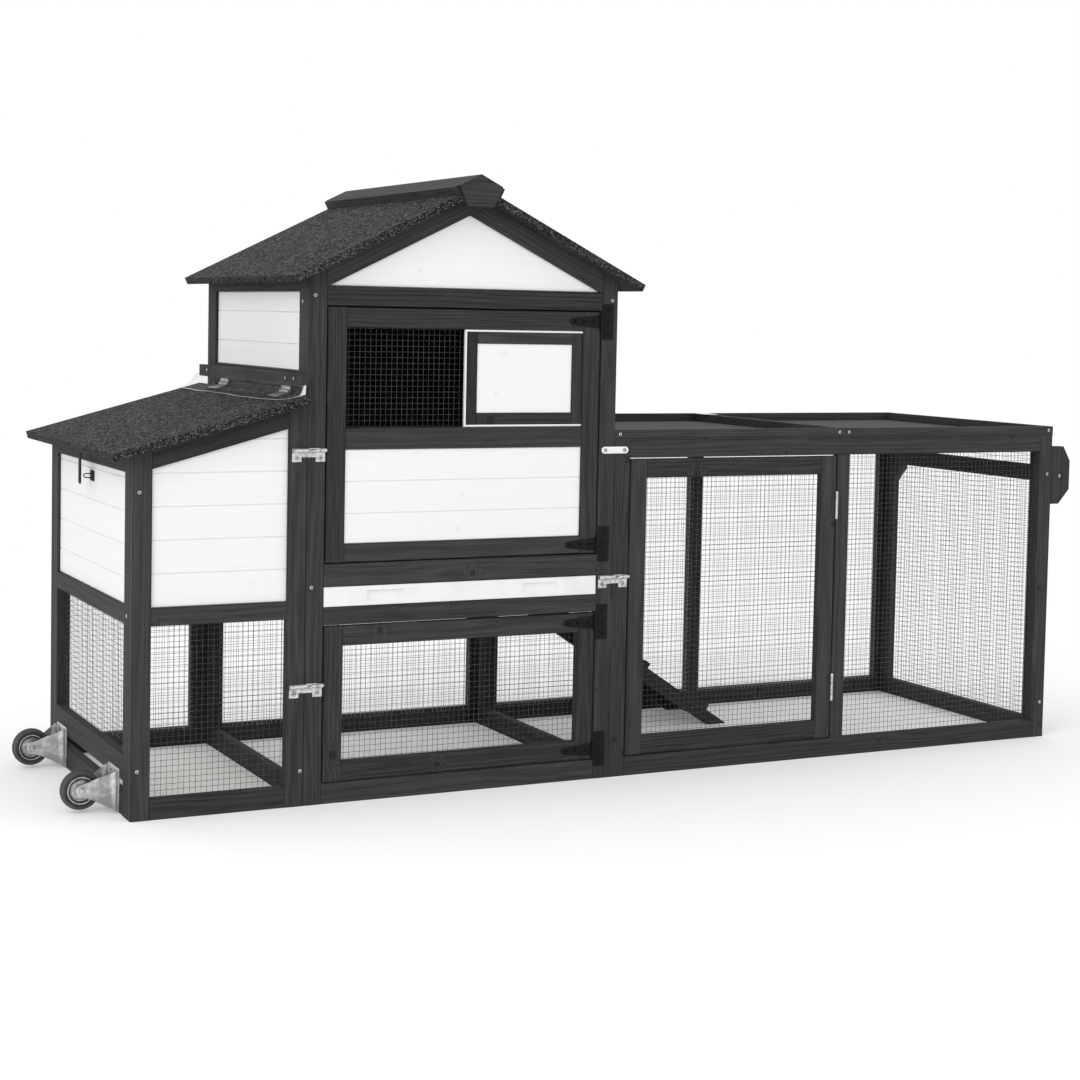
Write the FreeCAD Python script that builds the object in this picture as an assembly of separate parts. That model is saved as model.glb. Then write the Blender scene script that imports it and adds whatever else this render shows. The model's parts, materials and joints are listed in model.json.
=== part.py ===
"""Chicken tractor: a nest end on two castors, a gabled tower and a wire run with a lifting handle.

Millimetres. While drawing, X runs right from the nest's left face, Y back from the front face and
Z up from the ground. Every node is moved by ORIGIN at the end, so that the finished part has its
origin on the ground, under the middle of its bounding box.
"""
import FreeCAD
import Part

import math
import os

V = FreeCAD.Vector

# Timber and sheet stock
TIMBER_W = 42.0
TIMBER_T = 20.0
EDGE_EASE = 1.2
SIDING_T = 8.0
SIDING_RECESS = 7.0
BOARD_PITCH = 71.0
GROOVE = 1.6
PITCH = 12.7
WIRE = 0.9
MESH_LAP = 8.0
MESH_BORDER = 4.0

# Plan and heights of the three sections
DEPTH = 720.0
NEST_LENGTH = 384.0
TOWER_LENGTH = 760.0
RUN_LENGTH = 1308.0
BASE_RAIL_H = 46.0
NEST_FLOOR_TOP = 452.0
NEST_RAIL_H = 39.0
NEST_FLOOR_T = 12.0
DOOR_RAIL_TOP = 1139.0
DOOR_RAIL_H = 43.0
TRAY_RAIL_TOP = 531.0
TRAY_RAIL_H = 50.0
TRAY_SLOT_H = 45.0
LOWER_RAIL_H = 40.0
RUN_FRAME_H = 796.0
DECK_T = 4.0
RIM_H = 20.0

# Clearances
DOOR_GAP = 3.0
SLIDE_GAP = 0.3
SEAT_GAP = 0.3
PIN_CLEARANCE = 0.05
ROD_CLEARANCE = 0.3

# Roofs
ROOF_BOARD_T = 15.0
FELT_T = 2.5
ROOF_T = ROOF_BOARD_T + FELT_T
TOWER_PITCH = math.radians(26.3)
TOWER_RIDGE_Z = 1370.0
TOWER_EAVE_REACH = 428.0
TOWER_VERGE = 45.0
ROOF_BOARDS_PER_SLOPE = 5
NEST_PITCH = math.radians(15.4)
NEST_ROOF_X = 330.0
NEST_ROOF_Z = 887.0
NEST_EAVE_X = -50.0
NEST_VERGE = 37.0
NEST_ROOF_BOARDS = 4
NEST_ROOF_END_GAP = 4.0
RIDGE_CAP_T = 20.0
RIDGE_CAP_REACH = 53.0
END_PLATE_T = 10.0
END_PLATE_H = 72.0
END_PLATE_FOOT = 32.0

# Doors
DOOR_T = 18.0
DOOR_STILE_W = 44.0
DOOR_MID_TOP = 829.0
DOOR_MID_H = 47.0
DOOR_BOTTOM_H = 40.0
RUN_DOOR_W = 587.0
MID_POST_W = 37.0

# Window sash
SASH_W = 298.0
SASH_STILE_W = 27.0
SASH_T = 8.0
SASH_SETBACK = 2.0
TONGUE_H = 4.0
TONGUE_T = 3.0
GROOVE_DEPTH = 5.0
TRIM_W = 4.0

# Castors
CASTOR_INSET = 126.0
CASTOR_PLATE = (82.0, 94.0)
CASTOR_PLATE_T = 2.5
CASTOR_PLATE_FOOT = 2.0
CASTOR_SLOT = (14.0, 6.5)
CASTOR_SLOT_PLACES = (24.0, 36.0)
CASTOR_BOARD_H = 50.0
END_RAIL_Z = (76.0, 133.0)
AXLE_REACH = 75.0
AXLE_Z = 49.0
AXLE_R = 4.0
TYRE_R = 43.0
TYRE_W = 24.0
RIM_R = 30.0
HUB_R = 9.0
HUB_W = 28.0
FORK_INNER = 32.0
FORK_T = 2.2
FORK_EYE = 14.0
FORK_FLANGE = 8.0
FORK_WAIST = 54.0

# Handle at the run's end
CHEEK_T = 18.0
CHEEK_REACH = 60.0
CHEEK_H = 151.0
CHEEK_DROP = 29.0
HANDLE_RAIL_DROP = 80.0
BAR_R = 14.0
BAR_OFFSET = 29.0
BAR_DROP = 107.0
GUSSET = (37.0, 52.0)

# Ramp
RAMP_FOOT_X = 605.0
RAMP_PITCH = math.radians(33.7)
RAMP_W = 230.0
RAMP_INSET = 40.0
STRINGER_D = 32.0
TREAD_T = 10.0
CLEAT = (18.0, 14.0)
CLEAT_SPACING = 220.0
RAMP_LIFT = 0.5

# Hardware
PIN_R = 1.9
KNUCKLE_R = 3.5
KNUCKLE_GAP = 0.3
LEAF_T = 1.6
TEE_LEAF = (28.0, 82.0)
TEE_STRAP = (78.0, 30.0, 16.0)
TEE_BARREL = 40.0
BUTT_LENGTH = 68.0
BUTT_LEAF_T = 1.2
BUTT_LEAF_D = 16.0
ROOF_HINGE_LENGTH = 60.0
ROOF_HINGE_LEAF = 28.0
ROOF_HINGE_INSET = 140.0
BOLT_LENGTH = 76.0
BOLT_BAR_H = 20.0
BOLT_FOOT = (22.0, 10.0)
BOLT_PLATE_T = 1.2
BOLT_SLEEVES = (38.0, 12.0)
ROD_R = 3.5
ROD_LENGTH = 72.0
ROD_AXIS_Y = -6.0
KNOB_R = 2.5
KNOB_BALL_R = 4.0
KNOB_REACH = 14.0
KNOB_INSET = 5.0
SCREW_R = 4.0
SCREW_H = 1.6
SCREW_INSET = 14.0
FOOT_SCREW_LIFT = 46.0
NEST_SCREW_LIFT = 245.0

# Places worked out from the sizes above
TOWER_X = NEST_LENGTH
RUN_X = TOWER_X + TOWER_LENGTH
END_X = RUN_X + RUN_LENGTH
TOWER_MID = TOWER_X + TOWER_LENGTH / 2
BACK = DEPTH - TIMBER_T
INNER_Y = (TIMBER_T + TIMBER_W, BACK - TIMBER_W)
TRAY_RAIL_Z = (TRAY_RAIL_TOP - TRAY_RAIL_H, TRAY_RAIL_TOP)
LOWER_RAIL_TOP = TRAY_RAIL_Z[0] - TRAY_SLOT_H
LOWER_RAIL_Z = (LOWER_RAIL_TOP - LOWER_RAIL_H, LOWER_RAIL_TOP)
DOOR_RAIL_Z = (DOOR_RAIL_TOP - DOOR_RAIL_H, DOOR_RAIL_TOP)
NEST_RAIL_Z = (NEST_FLOOR_TOP - NEST_RAIL_H, NEST_FLOOR_TOP)
RUN_RAIL_Z = (RUN_FRAME_H - TIMBER_W, RUN_FRAME_H)
HANDLE_RAIL_Z = (RUN_FRAME_H - HANDLE_RAIL_DROP - TIMBER_W, RUN_FRAME_H - HANDLE_RAIL_DROP)
CHEEK_Z = (RUN_FRAME_H - CHEEK_DROP - CHEEK_H, RUN_FRAME_H - CHEEK_DROP)
BAR_Z = RUN_FRAME_H - BAR_DROP
DECK_Z = (RUN_FRAME_H, RUN_FRAME_H + DECK_T)
RIM_Z = (DECK_Z[1], DECK_Z[1] + RIM_H)
TOWER_BAY = (TOWER_X + TIMBER_W, RUN_X - TIMBER_W)
NEST_BAY = (TIMBER_W, NEST_LENGTH - TIMBER_W)
RUN_DOOR_X = (RUN_X + TIMBER_W, RUN_X + TIMBER_W + RUN_DOOR_W)
MID_POST_X = (RUN_DOOR_X[1], RUN_DOOR_X[1] + MID_POST_W)
RUN_BAY = (MID_POST_X[1], END_X - TIMBER_W)
MID_X = sum(MID_POST_X) / 2
SIDING_Y = (SIDING_RECESS, SIDING_RECESS + SIDING_T)
LEFT_FRAME_X = (TOWER_X, TOWER_X + TIMBER_T)
RIGHT_FRAME_X = (RUN_X - TIMBER_T, RUN_X)
END_FRAME_X = (END_X - TIMBER_T, END_X)
SIDE_TOP_Z = 1126.0
BATTEN_Z = (918.0, 946.0)
BATTEN_T = 18.0
BATTEN_END = 10.0
FLAP_T = 1.2
FLAP_REACH = 56.0
PLATE_FRONT = TOWER_VERGE + END_PLATE_T
RAMP_Y = (DEPTH - RAMP_INSET - RAMP_W, DEPTH - RAMP_INSET)

# Openings in the walls
NEST_DOORWAY = (90.0, 320.0)
NEST_DOORWAY_Z = (480.0, 730.0)
POP_DOORWAY_W = 200.0
POP_DOORWAY_INSET = 65.0
POP_DOORWAY_Y = (DEPTH - POP_DOORWAY_INSET - POP_DOORWAY_W, DEPTH - POP_DOORWAY_INSET)
POP_DOORWAY_Z = (480.0, 730.0)
POP_DOOR_LAP = 8.0
POP_DOOR_T = 8.0
POP_GUIDE_W = 14.0

AXES = {"x": V(1, 0, 0), "y": V(0, 1, 0), "z": V(0, 0, 1)}
ORIGIN = V((CHEEK_REACH + END_X - AXLE_REACH - TYRE_R) / 2, DEPTH / 2, 0)


# Basic shapes

def point(axis, along, a, b):
    """A point at `along` on the axis and (a, b) on the two others, in x, y, z order."""
    return {"x": V(along, a, b), "y": V(a, along, b), "z": V(a, b, along)}[axis]


def prism(outline, axis, span, holes=()):
    """The closed outline of 2D points, with holes, pulled along the axis over the span."""
    wires = []
    for points in (outline, *holes):
        ring = [point(axis, span[0], a, b) for a, b in points]
        wires.append(Part.makePolygon(ring + ring[:1]))
    face = Part.makeFace(wires, "Part::FaceMakerBullseye") if holes else Part.Face(wires[0])
    return face.extrude(AXES[axis] * (span[1] - span[0]))


def rectangle(a, b):
    return [(a[0], b[0]), (a[1], b[0]), (a[1], b[1]), (a[0], b[1])]


def block(x, y, z):
    return Part.makeBox(x[1] - x[0], y[1] - y[0], z[1] - z[0], V(x[0], y[0], z[0]))


def stick(x, y, z, ease=EDGE_EASE):
    """A piece of timber, its long edges eased."""
    spans = {"x": x, "y": y, "z": z}
    long = max(spans, key=lambda axis: spans[axis][1] - spans[axis][0])
    (a0, a1), (b0, b1) = [spans[axis] for axis in "xyz" if axis != long]
    outline = [(a0 + ease, b0), (a1 - ease, b0), (a1, b0 + ease), (a1, b1 - ease),
               (a1 - ease, b1), (a0 + ease, b1), (a0, b1 - ease), (a0, b0 + ease)]
    return prism(outline, long, spans[long])


def cylinder(centre, radius, axis, span):
    """A round bar; the centre's own coordinate along the axis is replaced by the span."""
    a, b = [value for name, value in zip("xyz", centre) if name != axis]
    return Part.makeCylinder(radius, span[1] - span[0], point(axis, span[0], a, b), AXES[axis])


def common(shapes, region):
    return [solid for shape in shapes for solid in shape.common(region).Solids]


def cut(shapes, tools):
    result = []
    for shape in shapes:
        for tool in tools:
            shape = shape.cut(tool)
        result.extend(shape.Solids)
    return result


# Roof lines: a point on the top surface, then distances along (s) and square to it (n)

class Slope:
    def __init__(self, x, z, angle):
        self.x, self.z = x, z
        self.c, self.s = math.cos(angle), math.sin(angle)

    def at(self, s, n):
        return (self.x + s * self.c - n * self.s, self.z + s * self.s + n * self.c)

    def strip(self, s, n):
        return [self.at(s[0], n[0]), self.at(s[1], n[0]), self.at(s[1], n[1]), self.at(s[0], n[1])]

    def height(self, x, n=0.0):
        """Height of the line n above the surface, at x."""
        return self.z + (x - self.x) * self.s / self.c + n / self.c

    def along(self, x, n=0.0):
        """Distance along the slope of the point at x on the line n above the surface."""
        return (x - self.x + n * self.s) / self.c


NEST_SLOPE = Slope(NEST_ROOF_X, NEST_ROOF_Z, NEST_PITCH)
LEFT_SLOPE = Slope(TOWER_MID, TOWER_RIDGE_Z, TOWER_PITCH)
RIGHT_SLOPE = Slope(TOWER_MID, TOWER_RIDGE_Z, -TOWER_PITCH)
RAMP_SLOPE = Slope(RUN_X + RAMP_FOOT_X, RAMP_LIFT, -RAMP_PITCH)
NEST_SEAT = -ROOF_T - SEAT_GAP


def under_nest_roof(depth=0.0):
    """Everything under the nest roof's seat, `depth` lower and square to it."""
    n = NEST_SEAT - depth
    x0, x1 = -TIMBER_W, NEST_LENGTH
    outline = [(x0, 0), (x1, 0), (x1, NEST_SLOPE.height(x1, n)), (x0, NEST_SLOPE.height(x0, n))]
    return prism(outline, "y", (0, DEPTH))


def under_tower_roof(depth=0.0):
    n = -ROOF_T - depth
    outline = [(TOWER_X, 0), (RUN_X, 0), (RUN_X, RIGHT_SLOPE.height(RUN_X, n)),
               (TOWER_MID, LEFT_SLOPE.height(TOWER_MID, n)), (TOWER_X, LEFT_SLOPE.height(TOWER_X, n))]
    return prism(outline, "y", (0, DEPTH))


# Wall fillings

def siding(axis, across, z, outer, inward, first=BOARD_PITCH):
    """Painted boards laid one on another, with a groove along each joint.

    The boards run along `axis`; their outer face is at `outer` and `inward` is +1 or -1.
    """
    boards = []
    low = z[0]
    high = low + first
    while low < z[1]:
        top = min(high, z[1])
        inner = outer + inward * SIDING_T
        edge = outer + inward * GROOVE
        outline = [(inner, low), (inner, top), (edge, top), (outer, top - GROOVE),
                   (outer, low + GROOVE), (edge, low)]
        boards.append(prism(outline, axis, across))
        low = top
        high = top + BOARD_PITCH
    return boards


def wire_mesh(axis, across, z, face, inward):
    """Welded wire: a layer of upright wires and a layer of level ones, on the frame's `face`.

    `axis` is the normal. Both layers share a border strip that lies behind the frame.
    """
    a0, a1 = across[0] - MESH_LAP, across[1] + MESH_LAP
    z0, z1 = z[0] - MESH_LAP, z[1] + MESH_LAP
    inner_a = (a0 + MESH_BORDER, a1 - MESH_BORDER)
    inner_z = (z0 + MESH_BORDER, z1 - MESH_BORDER)
    upright = [rectangle(gap, inner_z) for gap in wire_gaps(inner_a)]
    level = [rectangle(inner_a, gap) for gap in wire_gaps(inner_z)]
    layers = []
    for number, holes in enumerate((upright, level)):
        near = face + inward * number * WIRE
        span = sorted((near, near + inward * WIRE))
        layers.append(prism(rectangle((a0, a1), (z0, z1)), axis, span, holes))
    return layers


def wire_gaps(span):
    """The open spaces between wires at the mesh pitch, centred in the span."""
    count = int((span[1] - span[0]) / PITCH)
    start = (span[0] + span[1]) / 2 - count * PITCH / 2
    edges = [start + number * PITCH for number in range(count + 1)]
    return [(low + WIRE / 2, high - WIRE / 2) for low, high in zip(edges, edges[1:])]


# Hinges

def barrel(centre, axis, length, count, moving):
    """Knuckles of a hinge: the fixed ones hold the pin, the moving ones run on it."""
    along = dict(zip("xyz", centre))[axis]
    step = length / count
    bore = PIN_R + (PIN_CLEARANCE if moving else 0.0)
    knuckles = []
    for number in range(int(moving), count, 2):
        low = along - length / 2 + number * step
        span = (low + KNUCKLE_GAP / 2, low + step - KNUCKLE_GAP / 2)
        knuckles.append((span, cylinder(centre, KNUCKLE_R, axis, span)))
    return knuckles, bore


def hinge_side(centre, axis, length, count, moving, plate, web):
    """One side of a hinge: its plate, joined to its knuckles by webs, and bored for the pin.

    `web` gives the ranges of the two coordinates that aren't along the axis.
    """
    knuckles, bore = barrel(centre, axis, length, count, moving)
    shape = plate
    for span, knuckle in knuckles:
        shape = shape.fuse([knuckle, prism(web, axis, span)])
    along = dict(zip("xyz", centre))[axis]
    reach = (along - length, along + length)
    return shape.cut(cylinder(centre, bore, axis, reach)).removeSplitter()


def pin(centre, axis, length):
    along = dict(zip("xyz", centre))[axis]
    return cylinder(centre, PIN_R, axis, (along - length / 2, along + length / 2))


def dome_screw(centre, axis, outward):
    """The visible head of a screw, standing on a surface at `centre`."""
    base = V(*centre)
    direction = AXES[axis] * outward
    head = Part.makeCone(SCREW_R, SCREW_R * 0.6, SCREW_H, base, direction)
    slot = Part.makeCone(SCREW_R * 0.22, SCREW_R * 0.32, SCREW_H * 0.6,
                         base + direction * (SCREW_H * 0.41), direction)
    return head.cut(slot)


# Nest end

def nest_stiles():
    top = NEST_ROOF_Z
    stiles = []
    for y in ((0, TIMBER_T), (BACK, DEPTH)):
        for x in ((0, TIMBER_W), (NEST_BAY[1], NEST_LENGTH)):
            stiles.append(stick(x, y, (0, top)))
    for y in ((TIMBER_T, INNER_Y[0]), (INNER_Y[1], BACK)):
        stiles.append(stick((0, TIMBER_T), y, (0, top)))
    return common(stiles, under_nest_roof())


def nest_rails():
    rails = []
    for y in ((0, TIMBER_T), (BACK, DEPTH)):
        rails.append(stick(NEST_BAY, y, (0, BASE_RAIL_H)))
        rails.append(stick(NEST_BAY, y, NEST_RAIL_Z))
        seat = [NEST_SLOPE.height(x, NEST_SEAT) for x in NEST_BAY]
        under = [NEST_SLOPE.height(x, NEST_SEAT - TIMBER_W) for x in NEST_BAY]
        rails.append(prism([(NEST_BAY[0], under[0]), (NEST_BAY[1], under[1]),
                            (NEST_BAY[1], seat[1]), (NEST_BAY[0], seat[0])], "y", y))
    end = (0, TIMBER_T)
    for z in ((0, CASTOR_BOARD_H), END_RAIL_Z, NEST_RAIL_Z):
        rails.append(stick(end, INNER_Y, z))
    outer_top = NEST_SLOPE.height(end[0], NEST_SEAT)
    inner_top = NEST_SLOPE.height(end[1], NEST_SEAT)
    low = nest_end_panel_top()
    rails.append(prism([(end[0], low), (end[1], low), (end[1], inner_top), (end[0], outer_top)],
                       "y", INNER_Y))
    return rails


def nest_end_panel_top():
    return NEST_SLOPE.height(0, NEST_SEAT) - TIMBER_W


def nest_siding():
    """Boards on the nest's front, back and left end."""
    tall = NEST_SLOPE.height(NEST_BAY[1], NEST_SEAT - TIMBER_W)
    front = siding("x", NEST_BAY, (NEST_FLOOR_TOP, tall), SIDING_Y[0], 1)
    back = siding("x", NEST_BAY, (NEST_FLOOR_TOP, tall), DEPTH - SIDING_Y[0], -1)
    under = under_nest_roof(TIMBER_W)
    end = siding("y", INNER_Y, (NEST_FLOOR_TOP, nest_end_panel_top()), SIDING_Y[0], 1,
                 first=BOARD_PITCH * 0.8)
    return common(front + back, under) + end


def nest_floor():
    """Floor board and the divider between the two nests."""
    floor = block((TIMBER_T, TOWER_X), (TIMBER_T, BACK),
                  (NEST_FLOOR_TOP - NEST_FLOOR_T, NEST_FLOOR_TOP))
    wall = block((TIMBER_T, TOWER_X), (DEPTH / 2 - NEST_FLOOR_T / 2, DEPTH / 2 + NEST_FLOOR_T / 2),
                 (NEST_FLOOR_TOP, NEST_ROOF_Z))
    return [floor] + common([wall], under_nest_roof())


def low_mesh():
    """Wire round the open space below the nests and the tower."""
    z = (BASE_RAIL_H, NEST_RAIL_Z[0])
    return (wire_mesh("y", NEST_BAY, z, TIMBER_T, 1)
            + wire_mesh("y", NEST_BAY, z, BACK, -1)
            + wire_mesh("x", INNER_Y, (END_RAIL_Z[1], NEST_RAIL_Z[0]), TIMBER_T, 1)
            + wire_mesh("y", TOWER_BAY, (BASE_RAIL_H, LOWER_RAIL_Z[0]), BACK, -1))


# Nest roof

NEST_ROOF_Y = (-NEST_VERGE, DEPTH + NEST_VERGE)
NEST_ROOF_S = (NEST_SLOPE.along(NEST_EAVE_X, -ROOF_T),
               NEST_SLOPE.along(TOWER_X - NEST_ROOF_END_GAP, -ROOF_T))
ROOF_AXIS_X = TOWER_X - KNUCKLE_R - KNUCKLE_GAP
ROOF_AXIS_Z = NEST_SLOPE.height(ROOF_AXIS_X, KNUCKLE_R)
ROOF_HINGE_YS = (ROOF_HINGE_INSET, DEPTH - ROOF_HINGE_INSET)


def nest_roof_boards():
    """Boards side by side along the tower, as wide as the roof allows."""
    s0, s1 = NEST_ROOF_S[0] + FELT_T, NEST_ROOF_S[1]
    width = (s1 - s0) / NEST_ROOF_BOARDS
    y = (NEST_ROOF_Y[0] + FELT_T, NEST_ROOF_Y[1] - FELT_T)
    return [prism(NEST_SLOPE.strip((s0 + i * width, s0 + (i + 1) * width), (-ROOF_T, -FELT_T)), "y", y)
            for i in range(NEST_ROOF_BOARDS)]


def nest_roof_felt():
    """Felt on top of the boards, turned down over three edges."""
    whole = prism(NEST_SLOPE.strip(NEST_ROOF_S, (-ROOF_T, 0)), "y", NEST_ROOF_Y)
    boards = prism(NEST_SLOPE.strip((NEST_ROOF_S[0] + FELT_T, NEST_ROOF_S[1] + FELT_T),
                                    (-2 * ROOF_T, -FELT_T)),
                   "y", (NEST_ROOF_Y[0] + FELT_T, NEST_ROOF_Y[1] - FELT_T))
    return cut([whole], [boards])


def nest_roof_leaves():
    """The roof's side of its two hinges, lying on the felt, and of the hasp's."""
    s_axis = NEST_SLOPE.along(ROOF_AXIS_X, KNUCKLE_R)
    near = s_axis - KNUCKLE_R - KNUCKLE_GAP
    leaves = []
    for y in ROOF_HINGE_YS:
        span = (y - ROOF_HINGE_LENGTH / 2, y + ROOF_HINGE_LENGTH / 2)
        plate = prism(NEST_SLOPE.strip((near - ROOF_HINGE_LEAF, near), (0, LEAF_T)), "y", span)
        web = NEST_SLOPE.strip((near - 1, s_axis), (0, LEAF_T))
        leaves.append(hinge_side((ROOF_AXIS_X, y, ROOF_AXIS_Z), "y", ROOF_HINGE_LENGTH, 5, True,
                                 plate, web))
    return leaves + hasp_mount()


def roof_hinge_leaves():
    pieces = []
    low = ROOF_AXIS_Z + KNUCKLE_R + KNUCKLE_GAP
    for y in ROOF_HINGE_YS:
        span = (y - ROOF_HINGE_LENGTH / 2, y + ROOF_HINGE_LENGTH / 2)
        plate = block((TOWER_X - LEAF_T, TOWER_X), span, (low, BATTEN_Z[0]))
        web = rectangle((TOWER_X - LEAF_T, TOWER_X), (ROOF_AXIS_Z, low + 1))
        centre = (ROOF_AXIS_X, y, ROOF_AXIS_Z)
        pieces.append(hinge_side(centre, "y", ROOF_HINGE_LENGTH, 5, False, plate, web))
        pieces.append(pin(centre, "y", ROOF_HINGE_LENGTH))
    return pieces


def flap_batten():
    return [stick((TOWER_X - BATTEN_T, TOWER_X), (-BATTEN_END, DEPTH + BATTEN_END), BATTEN_Z)]


def weather_flap():
    """Clear strip from the batten's face down on to the roof, over the hinges."""
    outer = TOWER_X - BATTEN_T
    knee = outer - 12.0
    lift = LEAF_T + SEAT_GAP
    toe = TOWER_X - FLAP_REACH
    upper = [(outer, BATTEN_Z[1] - 4), (outer, BATTEN_Z[0] - 2),
             (knee, NEST_SLOPE.height(knee, lift)), (toe, NEST_SLOPE.height(toe, SEAT_GAP))]
    lower = [(x - FLAP_T, z + FLAP_T * 0.4) for x, z in upper[:2]]
    lower += [(x, z + FLAP_T) for x, z in upper[2:]]
    return [prism(upper + lower[::-1], "y", (NEST_ROOF_Y[0], NEST_ROOF_Y[1]))]


# Hasp under the nest roof's eave and the staple on the nest's end

HASP_Y = DEPTH / 2
HASP_X = -22.0
HASP_W = 22.0
HASP_LENGTH = 82.0
HASP_T = 1.5
HASP_SLOT = (6.0, 15.0)
HASP_SLOT_DROP = 64.0
HASP_R = 3.0
HASP_BARREL = 22.0
STAPLE_R = 1.25
STAPLE_REACH = 13.0
STAPLE_H = 9.0
STAPLE_PLATE = (34.0, 24.0)
HASP_Z = NEST_SLOPE.height(HASP_X, -ROOF_T) - HASP_R - KNUCKLE_GAP


def hasp_strap():
    """Slotted strap hanging from the hasp's pin."""
    y = (HASP_Y - HASP_W / 2, HASP_Y + HASP_W / 2)
    slot_z = HASP_Z - HASP_SLOT_DROP
    slot = rectangle((HASP_Y - HASP_SLOT[0] / 2, HASP_Y + HASP_SLOT[0] / 2),
                     (slot_z - HASP_SLOT[1] / 2, slot_z + HASP_SLOT[1] / 2))
    corner = 5.0
    low = HASP_Z - HASP_LENGTH
    outline = [(y[0], HASP_Z), (y[0], low + corner), (y[0] + corner, low), (y[1] - corner, low),
               (y[1], low + corner), (y[1], HASP_Z)]
    x = (HASP_X - HASP_T / 2, HASP_X + HASP_T / 2)
    strap = prism(outline, "x", x, [slot])
    centre = (HASP_X, HASP_Y, HASP_Z)
    third = HASP_BARREL / 3
    middle = (HASP_Y - third / 2 + KNUCKLE_GAP / 2, HASP_Y + third / 2 - KNUCKLE_GAP / 2)
    ends = [block((HASP_X - HASP_R - 1, HASP_X + HASP_R + 1), span,
                  (HASP_Z - HASP_R - KNUCKLE_GAP, HASP_Z + HASP_R))
            for span in ((y[0] - 1, middle[0]), (middle[1], y[1] + 1))]
    strap = strap.cut(ends[0]).cut(ends[1])
    ring = cylinder(centre, HASP_R, "y", middle)
    bore = cylinder(centre, STAPLE_R + PIN_CLEARANCE, "y", y)
    return [strap.fuse(ring).cut(bore)]


def hasp_mount():
    """The roof's side of the hasp's hinge, with its pin."""
    y = (HASP_Y - HASP_W / 2, HASP_Y + HASP_W / 2)
    s = NEST_SLOPE.along(HASP_X, -ROOF_T)
    plate = prism(NEST_SLOPE.strip((s + HASP_R + 2, s + HASP_R + 16), (-ROOF_T - LEAF_T, -ROOF_T)), "y", y)
    centre = (HASP_X, HASP_Y, HASP_Z)
    third = HASP_BARREL / 3
    shape = plate
    for side in (-1, 1):
        span = sorted((HASP_Y + side * third / 2, HASP_Y + side * HASP_W / 2))
        ring = cylinder(centre, HASP_R, "y", span)
        web = prism(NEST_SLOPE.strip((s, s + HASP_R + 3), (-ROOF_T - LEAF_T, -ROOF_T)), "y", span)
        shape = shape.fuse([ring, web])
    rod = cylinder(centre, STAPLE_R, "y", y)
    return [shape.cut(rod), rod]


def hasp_staple():
    """Plate and wire loop on the nest's end."""
    z = HASP_Z - HASP_SLOT_DROP
    plate = block((-LEAF_T, 0), (HASP_Y - STAPLE_PLATE[0] / 2, HASP_Y + STAPLE_PLATE[0] / 2),
                  (z - STAPLE_PLATE[1] / 2, z + STAPLE_PLATE[1] / 2))
    lift = SIDING_RECESS
    backing = plate.copy()
    backing.translate(V(lift, 0, 0))
    nose = -STAPLE_REACH + STAPLE_H / 2
    legs = [cylinder((0, HASP_Y, z + side * STAPLE_H / 2), STAPLE_R, "x", (nose, lift - LEAF_T))
            for side in (-1, 1)]
    bend = Part.makeTorus(STAPLE_H / 2, STAPLE_R, V(nose, HASP_Y, z), V(0, 1, 0), -180, 180, 360)
    front_half = block((nose - STAPLE_REACH, nose), (HASP_Y - 5, HASP_Y + 5), (z - 20, z + 20))
    loop = bend.common(front_half).fuse(legs)
    return [loop.fuse(backing).removeSplitter()]


# Tower

def tower_stiles():
    """Stiles of the front and back frames, and of the two side frames between them."""
    top = TOWER_RIDGE_Z
    stiles = []
    for x in ((TOWER_X, TOWER_BAY[0]), (TOWER_BAY[1], RUN_X)):
        for y in ((0, TIMBER_T), (BACK, DEPTH)):
            stiles.append(stick(x, y, (0, top)))
    for x in (LEFT_FRAME_X, RIGHT_FRAME_X):
        for y in ((TIMBER_T, INNER_Y[0]), (INNER_Y[1], BACK)):
            stiles.append(stick(x, y, (0, top)))
    return common(stiles, under_tower_roof())


def tower_rails():
    rails = []
    front = (0, TIMBER_T)
    back = (BACK, DEPTH)
    for z in ((0, BASE_RAIL_H), LOWER_RAIL_Z, TRAY_RAIL_Z, DOOR_RAIL_Z):
        rails.append(stick(TOWER_BAY, front, z))
    for z in ((0, BASE_RAIL_H), LOWER_RAIL_Z, DOOR_RAIL_Z):
        rails.append(stick(TOWER_BAY, back, z))
    for z in ((0, BASE_RAIL_H), NEST_RAIL_Z, (BATTEN_Z[0] - 8, BATTEN_Z[0] - 8 + TIMBER_W)):
        rails.append(stick(LEFT_FRAME_X, INNER_Y, z))
    for z in ((0, BASE_RAIL_H), LOWER_RAIL_Z):
        rails.append(stick(RIGHT_FRAME_X, INNER_Y, z))
    tops = [block(x, INNER_Y, (SIDE_TOP_Z, TOWER_RIDGE_Z)) for x in (LEFT_FRAME_X, RIGHT_FRAME_X)]
    return rails + common(tops, under_tower_roof()) + gable_rafters()


def gable_rafters():
    """The sloping members of the two gables, butted at the ridge."""
    rafters = []
    for y in ((0, TIMBER_T), (BACK, DEPTH)):
        for slope, x in ((LEFT_SLOPE, TOWER_BAY[0]), (RIGHT_SLOPE, TOWER_BAY[1])):
            outline = [(x, slope.height(x, -ROOF_T - TIMBER_W)),
                       (TOWER_MID, slope.height(TOWER_MID, -ROOF_T - TIMBER_W)),
                       (TOWER_MID, slope.height(TOWER_MID, -ROOF_T)), (x, slope.height(x, -ROOF_T))]
            rafters.append(prism(outline, "y", y))
    above_rail = block((TOWER_X, RUN_X), (0, DEPTH), (DOOR_RAIL_Z[1], TOWER_RIDGE_Z))
    return common(rafters, above_rail)


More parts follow.
